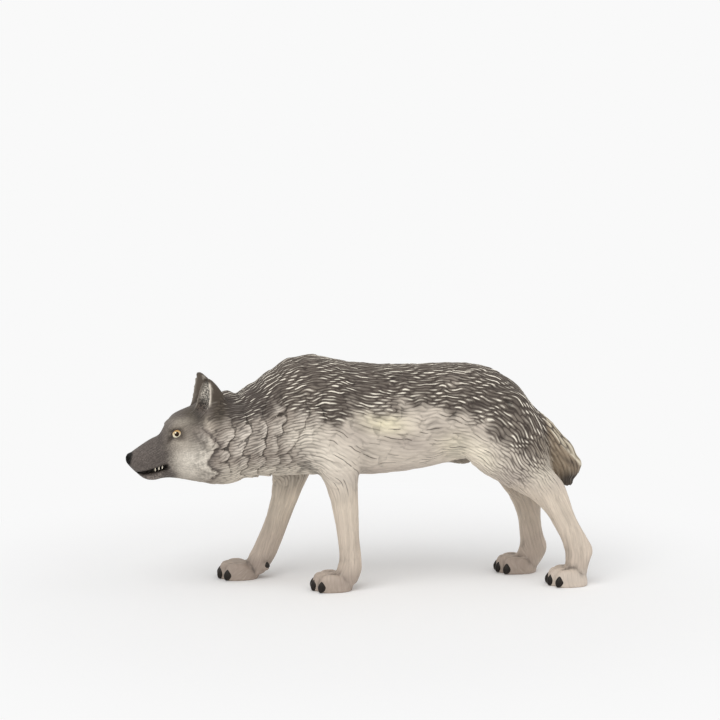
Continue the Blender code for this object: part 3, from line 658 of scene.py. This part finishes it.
# The head: a grey mask over brow and muzzle, pale cheeks, and dark lines round the eyes and lips
face = 1 - ramp(-39.8, -37.6, hx + 0.12 * (hz - 38) + drift * 0.25)
spray("#786f65", face)
spray("#c9c0b3", face * 1.15 * spot(hx, hz, (-41.8, 31.3), (5.2, 4.6)))
spray("#dad2c5", face * 0.65 * spot(hx, hz, (-42.0, 33.5), (3.6, 2.6), 0.5))
spray("#9c9184", face * 0.6 * (1 - ramp(26.6, 28.6, hz)))
spray("#544c43", face * ramp(40.2, 43.2, hz + drift * 0.3))
spray("#8d837e", face * 0.6 * spot(hx, hz, (-37.5, 39), (3.0, 2.4)))
muzzle_edge = -47.6 + 0.55 * np.maximum(hz - 36.5, 0) + 0.35 * np.maximum(33 - hz, 0)
spray("#5b534e", face * (1 - ramp(-1.6, 1.6, hx + drift * 0.25 - muzzle_edge)))
brow = spot(hx, hz, (EYE[0] + 1.2, EYE[2] + 2.9), (2.2, 0.8), 0.15)
spray("#aaa193", face * 0.6 * brow)
spray("#a79d8f", face * 0.8 * spot(hx, hz, (EYE[0] - 0.1, EYE[2]), (1.9, 1.9)))
cheekbone = spot(hx, hz, (EYE[0] + 1.6, EYE[2] - 2.4), (2.4, 0.9), -0.2)
spray("#b0a699", face * 0.6 * cheekbone)
gap, half = lip_gap(head)
jaw = (1 - ramp(-1.1, -0.5, gap)) * (1 - ramp(-49.8, -48.2, hx)) * (hx < -47)
spray("#756c66", face * jaw)
past = behind_cheek(head)
tufts = cheek_sides(head)
pale = bell(past + 1.0, 1.1) * tufts * (1 - ramp(37, 40, hz))
spray("#d5cdc0", 0.6 * pale)
# Painted shade: a dark band just behind the cheek's ragged edge, where its tufts overhang the ruff
spray("#80756e", 0.8 * bell(past - 0.7, 0.8) * tufts)
spray("#857a6f", 0.6 * spot(x, z, (-36.3, 27.0), (3, 2)))
nape = ramp(-42, -39.5, hx) * (1 - ramp(-26, -20, x)) * ramp(41.5, 44.5, z + drift * 0.5)
spray("#554d48", 0.9 * nape)
bare = np.clip(1.4 * spot(hx, hz, (-35.6, 44.6), (1.9, 3.8)), 0, 1) * (hy > 2)
spray("#5a5146", 0.85 * bare)
socket = np.exp(-(((hx - EYE[0]) / 1.75) ** 4) - (((hz - EYE[2]) / 1.45) ** 4)) * (hy > 2.5)
spray("#4b4138", 0.9 * socket)
tear = spot(hx, hz, (EYE[0] - 1.65, EYE[2] - 1.25), (1.1, 0.42), 0.9) * (hy > 2)
spray("#3a312b", 0.85 * np.clip(1.6 * tear, 0, 1))
nose = 1 - ramp(-56.45, -56.1, hx - 0.25 * (hz - 32.4))
nose *= ramp(30.3, 30.7, hz)
spray("#0d0c0a", nose)
lip_share = 1 - ramp(-48.2, -47.4, hx)
spray("#39302b", 0.7 * bell(gap + 0.3, half + 0.4) * lip_share)
lips = np.exp(-((gap / (half + 0.05)) ** 4)) * lip_share
spray("#1d1714", 0.95 * lips)

# The ears: dark behind, a mottled pale lining within the opening with painted shade low in it, and a
# cream line along its rim.
# Places on an ear are counted from its foot: up its length, across the opening and back from it.
EAR_FOOT = (-39.97, 5.8, 43.05)
EAR_LENGTH = 9.4
ears = ramp(0, 1.2, places[:, 2] - 44.8 - 0.38 * (hx + 40)) * (hx < -30) * (hy > 2.4)
rise = np.clip((hz - EAR_FOOT[2]) / EAR_LENGTH, 0, 1)
above_foot = hz - EAR_FOOT[2]
from_foot = np.stack([hx - EAR_FOOT[0] - 0.12 * above_foot, hy - EAR_FOOT[1] - 0.16 * above_foot], axis=-1)
ear_across = from_foot @ (0.42, 0.91)
ear_back = from_foot @ (0.92, -0.39)
ear_half = 3.2 * np.sqrt(1 - 0.97 * rise**2.4)
opening = ramp(0.15, -0.25, np.abs(ear_across) - np.maximum(ear_half - 0.75, 0.3 * ear_half))
opening *= ramp(2.3, 1.9, ear_back) * ramp(0.10, 0.22, rise)
opening *= ramp(0.94, 0.86, rise) * (hy > 2.4)
rim = bell(ear_across - ear_half + 0.35, 0.30) * ramp(1.0, 0.4, ear_back)
rim += 0.3 * bell(ear_across + ear_half - 0.35, 0.28) * ramp(0.9, 0.4, ear_back)
rim *= 1 - ramp(0.84, 0.92, rise)
spray("#4d443b", ears)
root = (1 - ramp(0.1, 0.5, rise)) * ramp(1.5, 3.0, ear_back)
spray("#746a5f", 0.6 * ears * root)
spray("#d8d0c3", opening * ramp(0.22, 0.50, rise + 0.03 * ear_across))
# Painted shade low in the opening, near the ear's foot
spray("#4a4038", opening * (1 - ramp(0.15, 0.45, rise + 0.05 * ear_across)))
spray("#e6dccd", 0.85 * rim * ears * ramp(0.0, 0.15, rise))

# Hollows are darkened, partly as the toy's dark wash and partly as painted shade, most over the saddle,
# in the ruff and low on the paws, less on the shoulder; crests are lightened
depth = 0.35 + np.maximum(0.35 * saddle, 0.25 * ruff) + 0.2 * (1 - ramp(5, 8, z))
depth *= 1 - 0.5 * shoulder
colour *= (1 - depth * np.clip(hollow, 0, 1))[:, None]
colour *= (1 + 0.14 * np.clip(-hollow, 0, 1))[:, None]

# How much dry brush, wash with painted shade, mottling and gloss each place gets, with the most brush
# at a few places
ears = np.maximum(ears, opening)
brush = 0.12 + 1.3 * saddle + 0.45 * ruff * ramp(0.4, 0.9, clump) + 0.85 * thigh * (1 - saddle)
most_brushed = (
    (-19.6, 48), (-13.7, 51.5), (-4, 51), (5, 47), (9.5, 50.5), (21, 51), (23, 50), (28, 45), (41, 42),
)
for centre in most_brushed:
    brush += saddle * spot(x, z, centre, (4.5, 2.4), -0.3)
brush *= 0.65 + 0.7 * clump
brush = brush * (1 - np.maximum(face, bare)) + 0.10 * face
brush = brush * (1 - tail) + tail * (0.12 + 0.4 * ramp(-0.3, 0.5, strip))
wash_and_shade = 0.9 * (1 - legs) + 0.10 * legs
wash_and_shade = wash_and_shade * (1 - face) + 0.25 * face
mottle = face * (0.16 + 0.14 * (1 - ramp(-48, -44, hx)) + 0.5 * jaw) * (1 - nose)
mottle = mottle * (1 - ears) + 1.1 * opening
gloss = np.maximum(nose, 0.6 * lips)
paint = coat_mesh.color_attributes.new("paint", "FLOAT_COLOR", "POINT")
solid_colour = np.column_stack([np.clip(colour, 0, 1), np.ones(count)])
paint.data.foreach_set("color", solid_colour.astype(np.float32).ravel())
grooved = np.maximum.reduce([saddle, 0.4 * ruff, 0.85 * thigh])
for name, values in (
    ("strands", (carried[0], carried[1], form[:, STRAND_RELIEF] * (1 - ears))),
    ("finish_and_shade", (brush * (1 - ears), wash_and_shade * (1 - ears), gloss)),
    ("speckle", (mottle, grooved, legs * ramp(4.5, 7.5, z))),
):
    vectors = coat_mesh.attributes.new(name, "FLOAT_VECTOR", "POINT")
    vectors.data.foreach_set("vector", np.column_stack(values).astype(np.float32).ravel())


def add(tree, kind, inputs=(), out=0, **settings):
    """Adds a node, sets it, gives its inputs values or other nodes' outputs, and returns an output."""
    node = tree.nodes.new(kind)
    for name, value in settings.items():
        setattr(node, name, value)
    for socket, value in dict(inputs).items():
        if isinstance(value, bpy.types.NodeSocket):
            tree.links.new(value, node.inputs[socket])
        else:
            node.inputs[socket].default_value = value
    return node.outputs[out] if node.outputs else node


def stepped(tree, value, low, high):
    """0 below low, 1 above high and an S curve between; the other way up when low is the higher."""
    inputs = {0: value, 1: low, 2: high}
    return add(tree, "ShaderNodeMapRange", inputs, interpolation_type="SMOOTHSTEP")


def sums(tree, operation, *numbers, clamp=False):
    """One operation on two or three numbers, each written out or another node's output."""
    inputs = dict(enumerate(numbers))
    return add(tree, "ShaderNodeMath", inputs, operation=operation, use_clamp=clamp)


def noise(tree, place, scale, detail=2.0, roughness=0.5):
    """Soft random mottling, 0 to 1, with so many swells in a unit of the place's length."""
    inputs = {"Vector": place, "Scale": scale, "Detail": detail, "Roughness": roughness}
    return add(tree, "ShaderNodeTexNoise", inputs)


def between(tree, share, one, other):
    """A mix of two paints, each a colour code or another node's output; at share 1 it is the other."""
    one, other = ((*linear(paint), 1) if isinstance(paint, str) else paint for paint in (one, other))
    return add(tree, "ShaderNodeMix", {0: share, 6: one, 7: other}, out=2, data_type="RGBA")


def new_material(name):
    """A new material of this name, its node tree and its shader."""
    material = bpy.data.materials.new(name)
    material.use_nodes = True
    return material, material.node_tree, material.node_tree.nodes["Principled BSDF"]


def vector_parts(tree, name):
    """The three numbers of a vector attribute."""
    vector = add(tree, "ShaderNodeAttribute", out=1, attribute_name=name)
    return add(tree, "ShaderNodeSeparateXYZ", {0: vector}).node.outputs


vinyl, tree, shader = new_material("hand_painted_vinyl_coat")
ground = add(tree, "ShaderNodeAttribute", attribute_name="paint")
across, along, relief = vector_parts(tree, "strands")
brush, wash_and_shade, gloss = vector_parts(tree, "finish_and_shade")
mottle, dark_share, streaked = vector_parts(tree, "speckle")
place = add(tree, "ShaderNodeTexCoord", out=3)

# The strands, worked out again as in strand_height, with two random numbers for each
column = sums(tree, "FLOOR", across)
crest = sums(tree, "SUBTRACT", across, column)
lean = sums(tree, "SUBTRACT", crest, 0.5)
reach = sums(tree, "MULTIPLY_ADD", column, GOLDEN, along)
row = sums(tree, "FLOOR", reach)
reach = sums(tree, "SUBTRACT", reach, row)
swell = sums(tree, "MULTIPLY_ADD", reach, 2.0, -1.0)
swell = sums(tree, "ABSOLUTE", swell)
swell = sums(tree, "POWER", swell, 2.6)
swell = sums(tree, "SUBTRACT", 1.0, swell)
crest = sums(tree, "MULTIPLY", lean, lean)
strand = sums(tree, "MULTIPLY_ADD", crest, -4.0, swell, clamp=True)
pair = add(tree, "ShaderNodeCombineXYZ", {0: column, 1: row})
chance = add(tree, "ShaderNodeTexWhiteNoise", {"Vector": pair}, noise_dimensions="2D")
other_pair = add(tree, "ShaderNodeVectorMath", {0: pair, 1: (31.5, 17.5, 0)}, operation="ADD")
other_chance = add(tree, "ShaderNodeTexWhiteNoise", {"Vector": other_pair}, noise_dimensions="2D")

# Hairs within the strands, patches that the brush missed, and specks under half a millimetre wide
hair_place = add(tree, "ShaderNodeCombineXYZ", {0: across, 1: along})
streak_place = add(tree, "ShaderNodeVectorMath", {0: hair_place, 1: (0.7, 0.22, 1.0)}, operation="MULTIPLY")
hair_place = add(tree, "ShaderNodeVectorMath", {0: hair_place, 1: (2.6, 1.3, 1.0)}, operation="MULTIPLY")
hairs = noise(tree, hair_place, 1.0, roughness=0.6)
patches = noise(tree, place, 210.0, roughness=0.6)
specks = noise(tree, place, 2400.0, roughness=0.7)
grain = noise(tree, place, 5200.0, 1.0)

# The grooves between strands are darkened, partly as the dark wash and partly as painted shade, and a
# random few strands get a painted undercut shadow along one side
groove = stepped(tree, strand, 0.40, 0.0)
groove = sums(tree, "MULTIPLY", groove, dark_share)
undercut_shade = stepped(tree, lean, -0.18, -0.46)
few = stepped(tree, other_chance, 0.38, 0.90)
taper = stepped(tree, swell, 0.15, 0.75)
for other in (few, taper):
    undercut_shade = sums(tree, "MULTIPLY", undercut_shade, other)
groove = sums(tree, "MAXIMUM", groove, undercut_shade)
groove = sums(tree, "MULTIPLY", groove, wash_and_shade, clamp=True)
washed_and_shaded = between(tree, groove, ground, "#453c36")
crest = sums(tree, "MULTIPLY_ADD", hairs, 0.5, strand)
crest = stepped(tree, crest, 1.0, 1.2)
worn = stepped(tree, patches, 0.37, 0.56)
share = sums(tree, "MULTIPLY_ADD", chance, 0.85, 0.15)
for other in (worn, share):
    crest = sums(tree, "MULTIPLY", crest, other)
crest = sums(tree, "MULTIPLY", crest, brush, clamp=True)
brushed = between(tree, crest, washed_and_shaded, BONE)
shade = sums(tree, "MULTIPLY_ADD", hairs, 0.44, 0.78)
streaks = noise(tree, streak_place, 1.0, 1.0)
streaks = sums(tree, "SUBTRACT", streaks, 0.5)
streaks = sums(tree, "MULTIPLY", streaks, streaked)
shade = sums(tree, "MULTIPLY_ADD", streaks, 0.55, shade)
speck_step = stepped(tree, specks, 0.36, 0.66)
speck_step = sums(tree, "SUBTRACT", speck_step, 0.5)
speck_step = sums(tree, "MULTIPLY", speck_step, mottle)
shade = sums(tree, "MULTIPLY_ADD", speck_step, 1.5, shade)
toned = add(tree, "ShaderNodeVectorMath", {0: brushed, "Scale": shade}, operation="SCALE")
tree.links.new(toned, shader.inputs["Base Color"])

matt = sums(tree, "MULTIPLY_ADD", gloss, -0.22, 0.62)
matt = sums(tree, "MULTIPLY_ADD", patches, 0.12, matt)
tree.links.new(matt, shader.inputs["Roughness"])
shine = sums(tree, "MULTIPLY_ADD", gloss, -0.22, 0.3)
tree.links.new(shine, shader.inputs["Specular IOR Level"])
lift = sums(tree, "MULTIPLY", strand, relief)
hair_lift = sums(tree, "MULTIPLY", relief, 0.45)
lift = sums(tree, "MULTIPLY_ADD", hairs, hair_lift, lift)
lift = sums(tree, "MULTIPLY_ADD", specks, 0.03, lift)
lift = sums(tree, "MULTIPLY_ADD", grain, 0.008, lift)
bump = add(tree, "ShaderNodeBump", {"Height": lift, "Strength": 0.8, "Distance": MM})
tree.links.new(bump, shader.inputs["Normal"])
coat_mesh.materials.clear()
coat_mesh.materials.append(vinyl)
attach(wolf_coat, "root")
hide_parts("wolf")


# The eyes. Each is a low dome moulded with the head, painted amber round a dark pupil, ringed in dark
# brown and varnished. It is a cap of a ball, by the angle from its axis and the turn round it.
EYE_BALL = 1.5
EYE_SUNK = 0.62
EYE_OPEN = math.radians(70)
EYE_LOOK = np.array((-0.34, 0.93, 0.10))
DOME_ROWS, DOME_COLUMNS = 16, 40
LID_SECTIONS, LID_SIDES = 56, 10


def surface_near(side, x_at, z_at, reach=0.5):
    """How far out the coat lies in the straight head's frame at this place on one side."""
    found = (head[:, 1] * side > 1) & (np.hypot(head[:, 0] - x_at, head[:, 2] - z_at) < reach)
    return np.median(np.abs(head[found, 1]))


def axes_of(look):
    """The look at length 1 and two directions square to it, the first of them level."""
    look = look / np.linalg.norm(look)
    level = np.cross((0, 0, 1), look)
    level /= np.linalg.norm(level)
    return look, level, np.cross(look, level)


def grid_faces(rows, columns):
    """Quads between the rows of a grid whose last column meets the first."""
    ids = np.arange(rows * columns).reshape(rows, columns)
    after = np.roll(ids, -1, axis=1)
    return np.stack([ids[:-1], after[:-1], after[1:], ids[1:]], axis=-1).reshape(-1, 4)


def fan(pole, first, columns):
    """Triangles from a pole to the sides of a ring of points, counted from its first."""
    return [(pole, first + (i + 1) % columns, first + i) for i in range(columns)]


def mottled(name, scale, colours, roughness, detail=2.0, specular=0.5, bump=None):
    """A new material that wanders between two colours; bump is a strength and a height in millimetres."""
    material, tree, shader = new_material(name)
    mottle = noise(tree, add(tree, "ShaderNodeTexCoord", out=3), scale, detail)
    tree.links.new(between(tree, mottle, *colours), shader.inputs["Base Color"])
    shader.inputs["Roughness"].default_value = roughness
    shader.inputs["Specular IOR Level"].default_value = specular
    if bump:
        inputs = {"Height": mottle, "Strength": bump[0], "Distance": bump[1] * MM}
        tree.links.new(add(tree, "ShaderNodeBump", inputs), shader.inputs["Normal"])
    return material


def shell(name, points, faces, material):
    """A new piece of this name: its points are in millimetres, smooth-shaded, with its normals outward."""
    mesh = bpy.data.meshes.new(name)
    mesh.from_pydata((points * MM).tolist(), [], [list(face) for face in faces])
    mesh.materials.append(material)
    mesh.shade_smooth()
    piece = bpy.data.objects.new(name, mesh)
    bpy.context.collection.objects.link(piece)
    tidy = bmesh.new()
    tidy.from_mesh(mesh)
    bmesh.ops.recalc_face_normals(tidy, faces=tidy.faces[:])
    tidy.to_mesh(mesh)
    tidy.free()
    return piece


enamel, tree, shader = new_material("varnished_eye_paint")
rim, turn, height, glint = (
    add(tree, "ShaderNodeAttribute", out=2, attribute_name=name)
    for name in ("from_axis", "turn", "height", "glint")
)
rays = add(tree, "ShaderNodeTexNoise", {"W": turn, "Scale": 4.0, "Detail": 2.0}, noise_dimensions="1D")
gold = sums(tree, "MULTIPLY_ADD", rays, 0.4, height)
gold = stepped(tree, gold, 1.15, 0.30)
amber = between(tree, gold, "#c08f45", "#fffbe0")
outer = stepped(tree, rim, 0.66, 0.76)
iris = between(tree, outer, amber, "#4b3421")
middle = stepped(tree, rim, 0.36, 0.30)
eye_paint = between(tree, middle, iris, "#2a1b0e")
# A painted highlight: a small cream dot on the pupil's upper front
glint = stepped(tree, glint, 0.3, 0.7)
eye_paint = between(tree, glint, eye_paint, "#fff6d8")
tree.links.new(eye_paint, shader.inputs["Base Color"])
shader.inputs["Roughness"].default_value = 0.15
shader.inputs["Specular IOR Level"].default_value = 0.15

lid_paint = mottled("dark_lid_paint", 1500.0, ("#2b231d", "#5a4b3d"), 0.5, bump=(0.4, 0.05))
for side, which in ((-1, "left"), (1, "right")):
    look, level, upward = axes_of(EYE_LOOK * (1, side, 1))
    depth = surface_near(side, EYE[0], EYE[2])
    centre = np.array((EYE[0], side * depth, EYE[2])) - look * (EYE_BALL * EYE_SUNK)
    tip = np.linspace(0.02, 1, DOME_ROWS)[:, None] * EYE_OPEN
    spin = np.linspace(0, 2 * np.pi, DOME_COLUMNS, endpoint=False)[None]
    ball = np.cos(tip)[..., None] * look + np.sin(tip)[..., None] * (
        np.cos(spin)[..., None] * level + np.sin(spin)[..., None] * upward
    )
    dome = turned_head((centre + EYE_BALL * ball).reshape(-1, 3))
    pole = turned_head((centre + EYE_BALL * look)[None])
    faces = grid_faces(DOME_ROWS, DOME_COLUMNS).tolist()
    faces += fan(DOME_ROWS * DOME_COLUMNS, 0, DOME_COLUMNS)
    eye = shell("eye_" + which, np.concatenate([dome, pole]), faces, enamel)
    heights = 0.5 + 0.5 * np.sin(tip) / math.sin(EYE_OPEN) * np.sin(spin)
    hold(eye.data, "from_axis", np.append(np.repeat(tip.ravel() / EYE_OPEN, DOME_COLUMNS), 0))
    hold(eye.data, "turn", np.append(np.tile(np.abs(spin.ravel() - np.pi), DOME_ROWS), 0))
    hold(eye.data, "height", np.append(heights.ravel(), 0.5))
    # The painted highlight's place: a little up and forward on the dome, where the key lamp would glint
    spark = centre + EYE_BALL * (0.93 * look - 0.20 * level * np.sign(level[0]) + 0.22 * upward)
    from_spark = np.linalg.norm(np.concatenate([dome, pole]) - turned_head(spark[None]), axis=1)
    hold(eye.data, "glint", bell(from_spark, 0.22))
    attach(eye, "root")

    # The lids: a ring of almond outline laid on the dome, with its inner corner drawn down and forward
    around = np.linspace(0, 2 * np.pi, LID_SECTIONS, endpoint=False)[:, None]
    bend = np.linspace(0, 2 * np.pi, LID_SIDES, endpoint=False)[None]
    front = np.cos(around) * np.sign(np.dot(level, (-1, 0, 0)))
    corner = np.clip(front, 0, 1) ** 4
    out_x = 1.23 * np.cos(around) * (1 + 0.24 * corner)
    out_z = 1.13 * np.sin(around) * (1 - 0.15 * np.cos(around) ** 2) - 0.36 * corner
    lift = np.sqrt(np.clip(EYE_BALL**2 - out_x**2 - out_z**2, 0.25, None)) + 0.02
    thick = 0.17 + 0.07 * np.clip(np.sin(around), 0, 1)
    out = np.hypot(out_x, out_z)
    radial = (out_x / out)[..., None] * level + (out_z / out)[..., None] * upward
    ring = centre + out_x[..., None] * level + out_z[..., None] * upward + lift[..., None] * look
    ring = ring + thick[..., None] * (
        np.cos(bend)[..., None] * radial + np.sin(bend)[..., None] * look
    )
    faces = grid_faces(LID_SECTIONS + 1, LID_SIDES) % (LID_SECTIONS * LID_SIDES)
    lids = shell("eyelids_" + which, turned_head(ring.reshape(-1, 3)), faces, lid_paint)
    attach(lids, "root")


# The claws. Moulded with the toes and painted glossy black-brown: four on each paw and one dewclaw on
# the inner side of each foreleg. Each is an egg drawn out to a blunt point, by two angles.
TOE_PITCH = 2.05
CLAW_HEIGHT, CLAW_SIZE = 1.5, (1.15, 0.75, 1.42)
DEWCLAW_HEIGHT, DEWCLAW_SIZE = 3.5, (0.75, 0.6, 0.95)
EGG_ROWS, EGG_COLUMNS = 12, 16
EGG_POINTS = EGG_ROWS * EGG_COLUMNS + 2


def eggs(centres, sizes):
    """The points and faces of an egg at each centre, each drawn out to its own half sizes."""
    points = [np.array(centre) + egg * np.array(size) for centre, size in zip(centres, sizes)]
    faces = [
        [corner + number * EGG_POINTS for corner in face]
        for number in range(len(points))
        for face in egg_faces
    ]
    return np.concatenate(points), faces


claw_colours = ("#15120f", "#2e2722")
horn = mottled("glossy_black_brown_claw_paint", 900.0, claw_colours, 0.35, 3.0, 0.2, (0.3, 0.06))
centres, sizes = [], []
for tip_x, paw_y in TOE_TIPS:
    for toe in (-1.5, -0.5, 0.5, 1.5):
        back, spread = (3.05, 0.62) if abs(toe) > 1 else (0.95 + 0.9 * TOES_BACK, 0.25)
        out_y = toe * TOE_PITCH + spread * np.sign(toe)
        centres.append((tip_x + back, paw_y + out_y, CLAW_HEIGHT))
        sizes.append(CLAW_SIZE)
for wrist_x, wrist_y in ((-2.1, -4.7), (-23.0, 4.7)):
    centres.append((wrist_x, wrist_y, DEWCLAW_HEIGHT))
    sizes.append(DEWCLAW_SIZE)
dip = np.linspace(0.15, np.pi - 0.15, EGG_ROWS)[:, None]
spin = np.linspace(0, 2 * np.pi, EGG_COLUMNS, endpoint=False)[None]
egg = np.stack(
    [np.sin(dip) * np.cos(spin), np.sin(dip) * np.sin(spin), np.cos(dip) + 0 * spin], axis=-1
)
egg[..., :2] *= 1 - 0.35 * np.clip(egg[..., 2:], 0, 1)
egg[..., 0] -= 0.35 * (egg[..., 2] < 0) * egg[..., 2] ** 2
egg = np.concatenate([egg.reshape(-1, 3), [(0, 0, 1), (-0.35, 0, -1)]])
egg_faces = grid_faces(EGG_ROWS, EGG_COLUMNS).tolist()
egg_faces += fan(EGG_POINTS - 2, 0, EGG_COLUMNS)
egg_faces += fan(EGG_POINTS - 1, EGG_COLUMNS * (EGG_ROWS - 1), EGG_COLUMNS)
claws = shell("claws", *eggs(centres, sizes), horn)
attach(claws, "root")


# The teeth. Six small cream points moulded inside the upper lip, three on each side of the mouth,
# each a slim egg like the claws and painted by hand.
TOOTH_SIZE = (0.17, 0.2, 0.46)
TOOTH_SUNK = 0.25
tooth_enamel = mottled("cream_tooth_paint", 1400.0, ("#d9cdb4", "#f7f1e2"), 0.35)
centres = []
for side in (-1, 1):
    for tooth_x, tooth_z in ((-50.7, 30.35), (-49.8, 30.6), (-49.0, 30.85)):
        out = surface_near(side, tooth_x, tooth_z + 0.5, 0.6)
        centres.append((tooth_x, side * (out - TOOTH_SUNK), tooth_z))
points, faces = eggs(centres, [TOOTH_SIZE] * len(centres))
teeth = shell("teeth", turned_head(points), faces, tooth_enamel)
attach(teeth, "root")


# The studio: a pale floor that runs out into a background of the same tone, an even bright dome of
# light, a soft key from the upper left in front and a weak fill from the right.
PAPER = "#f9f9f9"
FLOOR_HALF, FLOOR_DROP = 6, 0.00002
FADE_FROM, FADE_TO = 0.07, 0.13
paper, tree, shader = new_material("pale_paper_floor")
shader.inputs["Base Color"].default_value = (*linear(PAPER), 1)
shader.inputs["Roughness"].default_value = 0.9
shader.inputs["Specular IOR Level"].default_value = 0.0
place = add(tree, "ShaderNodeTexCoord", out=3)
far = add(tree, "ShaderNodeVectorMath", {0: place}, out=1, operation="LENGTH")
fade = stepped(tree, far, FADE_FROM, FADE_TO)
glow = add(tree, "ShaderNodeEmission", {"Color": (*linear(PAPER), 1), "Strength": 1.0})
seen = add(tree, "ShaderNodeLightPath")
fade = sums(tree, "MULTIPLY", fade, seen)
mixed = add(tree, "ShaderNodeMixShader", {0: fade, 1: shader.outputs[0], 2: glow})
tree.links.new(mixed, tree.nodes["Material Output"].inputs["Surface"])
floor_mesh = bpy.data.meshes.new("floor")
corners = [(x * FLOOR_HALF, y * FLOOR_HALF, 0) for x, y in ((-1, -1), (1, -1), (1, 1), (-1, 1))]
floor_mesh.from_pydata(corners, [], [(0, 1, 2, 3)])
floor_mesh.materials.append(paper)
floor = bpy.data.objects.new("floor", floor_mesh)
bpy.context.collection.objects.link(floor)
floor.location.z = -FLOOR_DROP
floor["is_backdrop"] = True

world = bpy.data.worlds.new("studio")
world.use_nodes = True
tree = world.node_tree
sky = tree.nodes["Background"]
sky.inputs["Color"].default_value = (1, 1, 1, 1)
sky.inputs["Strength"].default_value = 0.62
screen = add(tree, "ShaderNodeBackground", {"Color": (*linear(PAPER), 1), "Strength": 1.0})
seen = add(tree, "ShaderNodeLightPath").node.outputs
direct = sums(tree, "ADD", seen["Is Camera Ray"], seen["Is Glossy Ray"], clamp=True)
mixed = add(tree, "ShaderNodeMixShader", {0: direct, 1: sky.outputs[0], 2: screen})
tree.links.new(mixed, tree.nodes["World Output"].inputs["Surface"])
bpy.context.scene.world = world

# Each lamp's strength, the width of its disc, its tilt from straight above and its heading, in degrees
for name, strength, angle, tilt, heading in (
    ("key", 1.15, 50, 38, -35),
    ("fill", 0.35, 70, 55, 60),
):
    lamp = bpy.data.lights.new(name, "SUN")
    lamp.energy = strength
    lamp.angle = math.radians(angle)
    light = bpy.data.objects.new(name, lamp)
    bpy.context.collection.objects.link(light)
    light.rotation_euler = (math.radians(tilt), 0, math.radians(heading))

# The camera: a short telephoto a little ahead of the wolf's left side, looking slightly down. Its
# picture is shifted up, so that the wolf stands below the middle.
CAMERA_SIDE, CAMERA_RISE = math.radians(-5.5), math.radians(10)
CAMERA_AWAY, CAMERA_AIM = 0.42, 0.027
PICTURE_SHIFT = 115 / 720
camera = bpy.data.objects.new("camera", bpy.data.cameras.new("camera"))
bpy.context.collection.objects.link(camera)
camera.data.lens = 85
camera.data.sensor_width = 36
camera.data.clip_start = 0.01
camera.data.shift_y = PICTURE_SHIFT
camera.location = (
    CAMERA_AWAY * math.sin(CAMERA_SIDE) * math.cos(CAMERA_RISE),
    -CAMERA_AWAY * math.cos(CAMERA_SIDE) * math.cos(CAMERA_RISE),
    CAMERA_AWAY * math.sin(CAMERA_RISE) + CAMERA_AIM,
)
camera.rotation_euler = (math.pi / 2 - CAMERA_RISE, 0, CAMERA_SIDE)
bpy.context.scene.camera = camera
bpy.context.scene.view_settings.view_transform = "Standard"

low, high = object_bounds()
sizes = {"cad": [list(cad_low), list(cad_high)], "visual": [list(low), list(high)]}
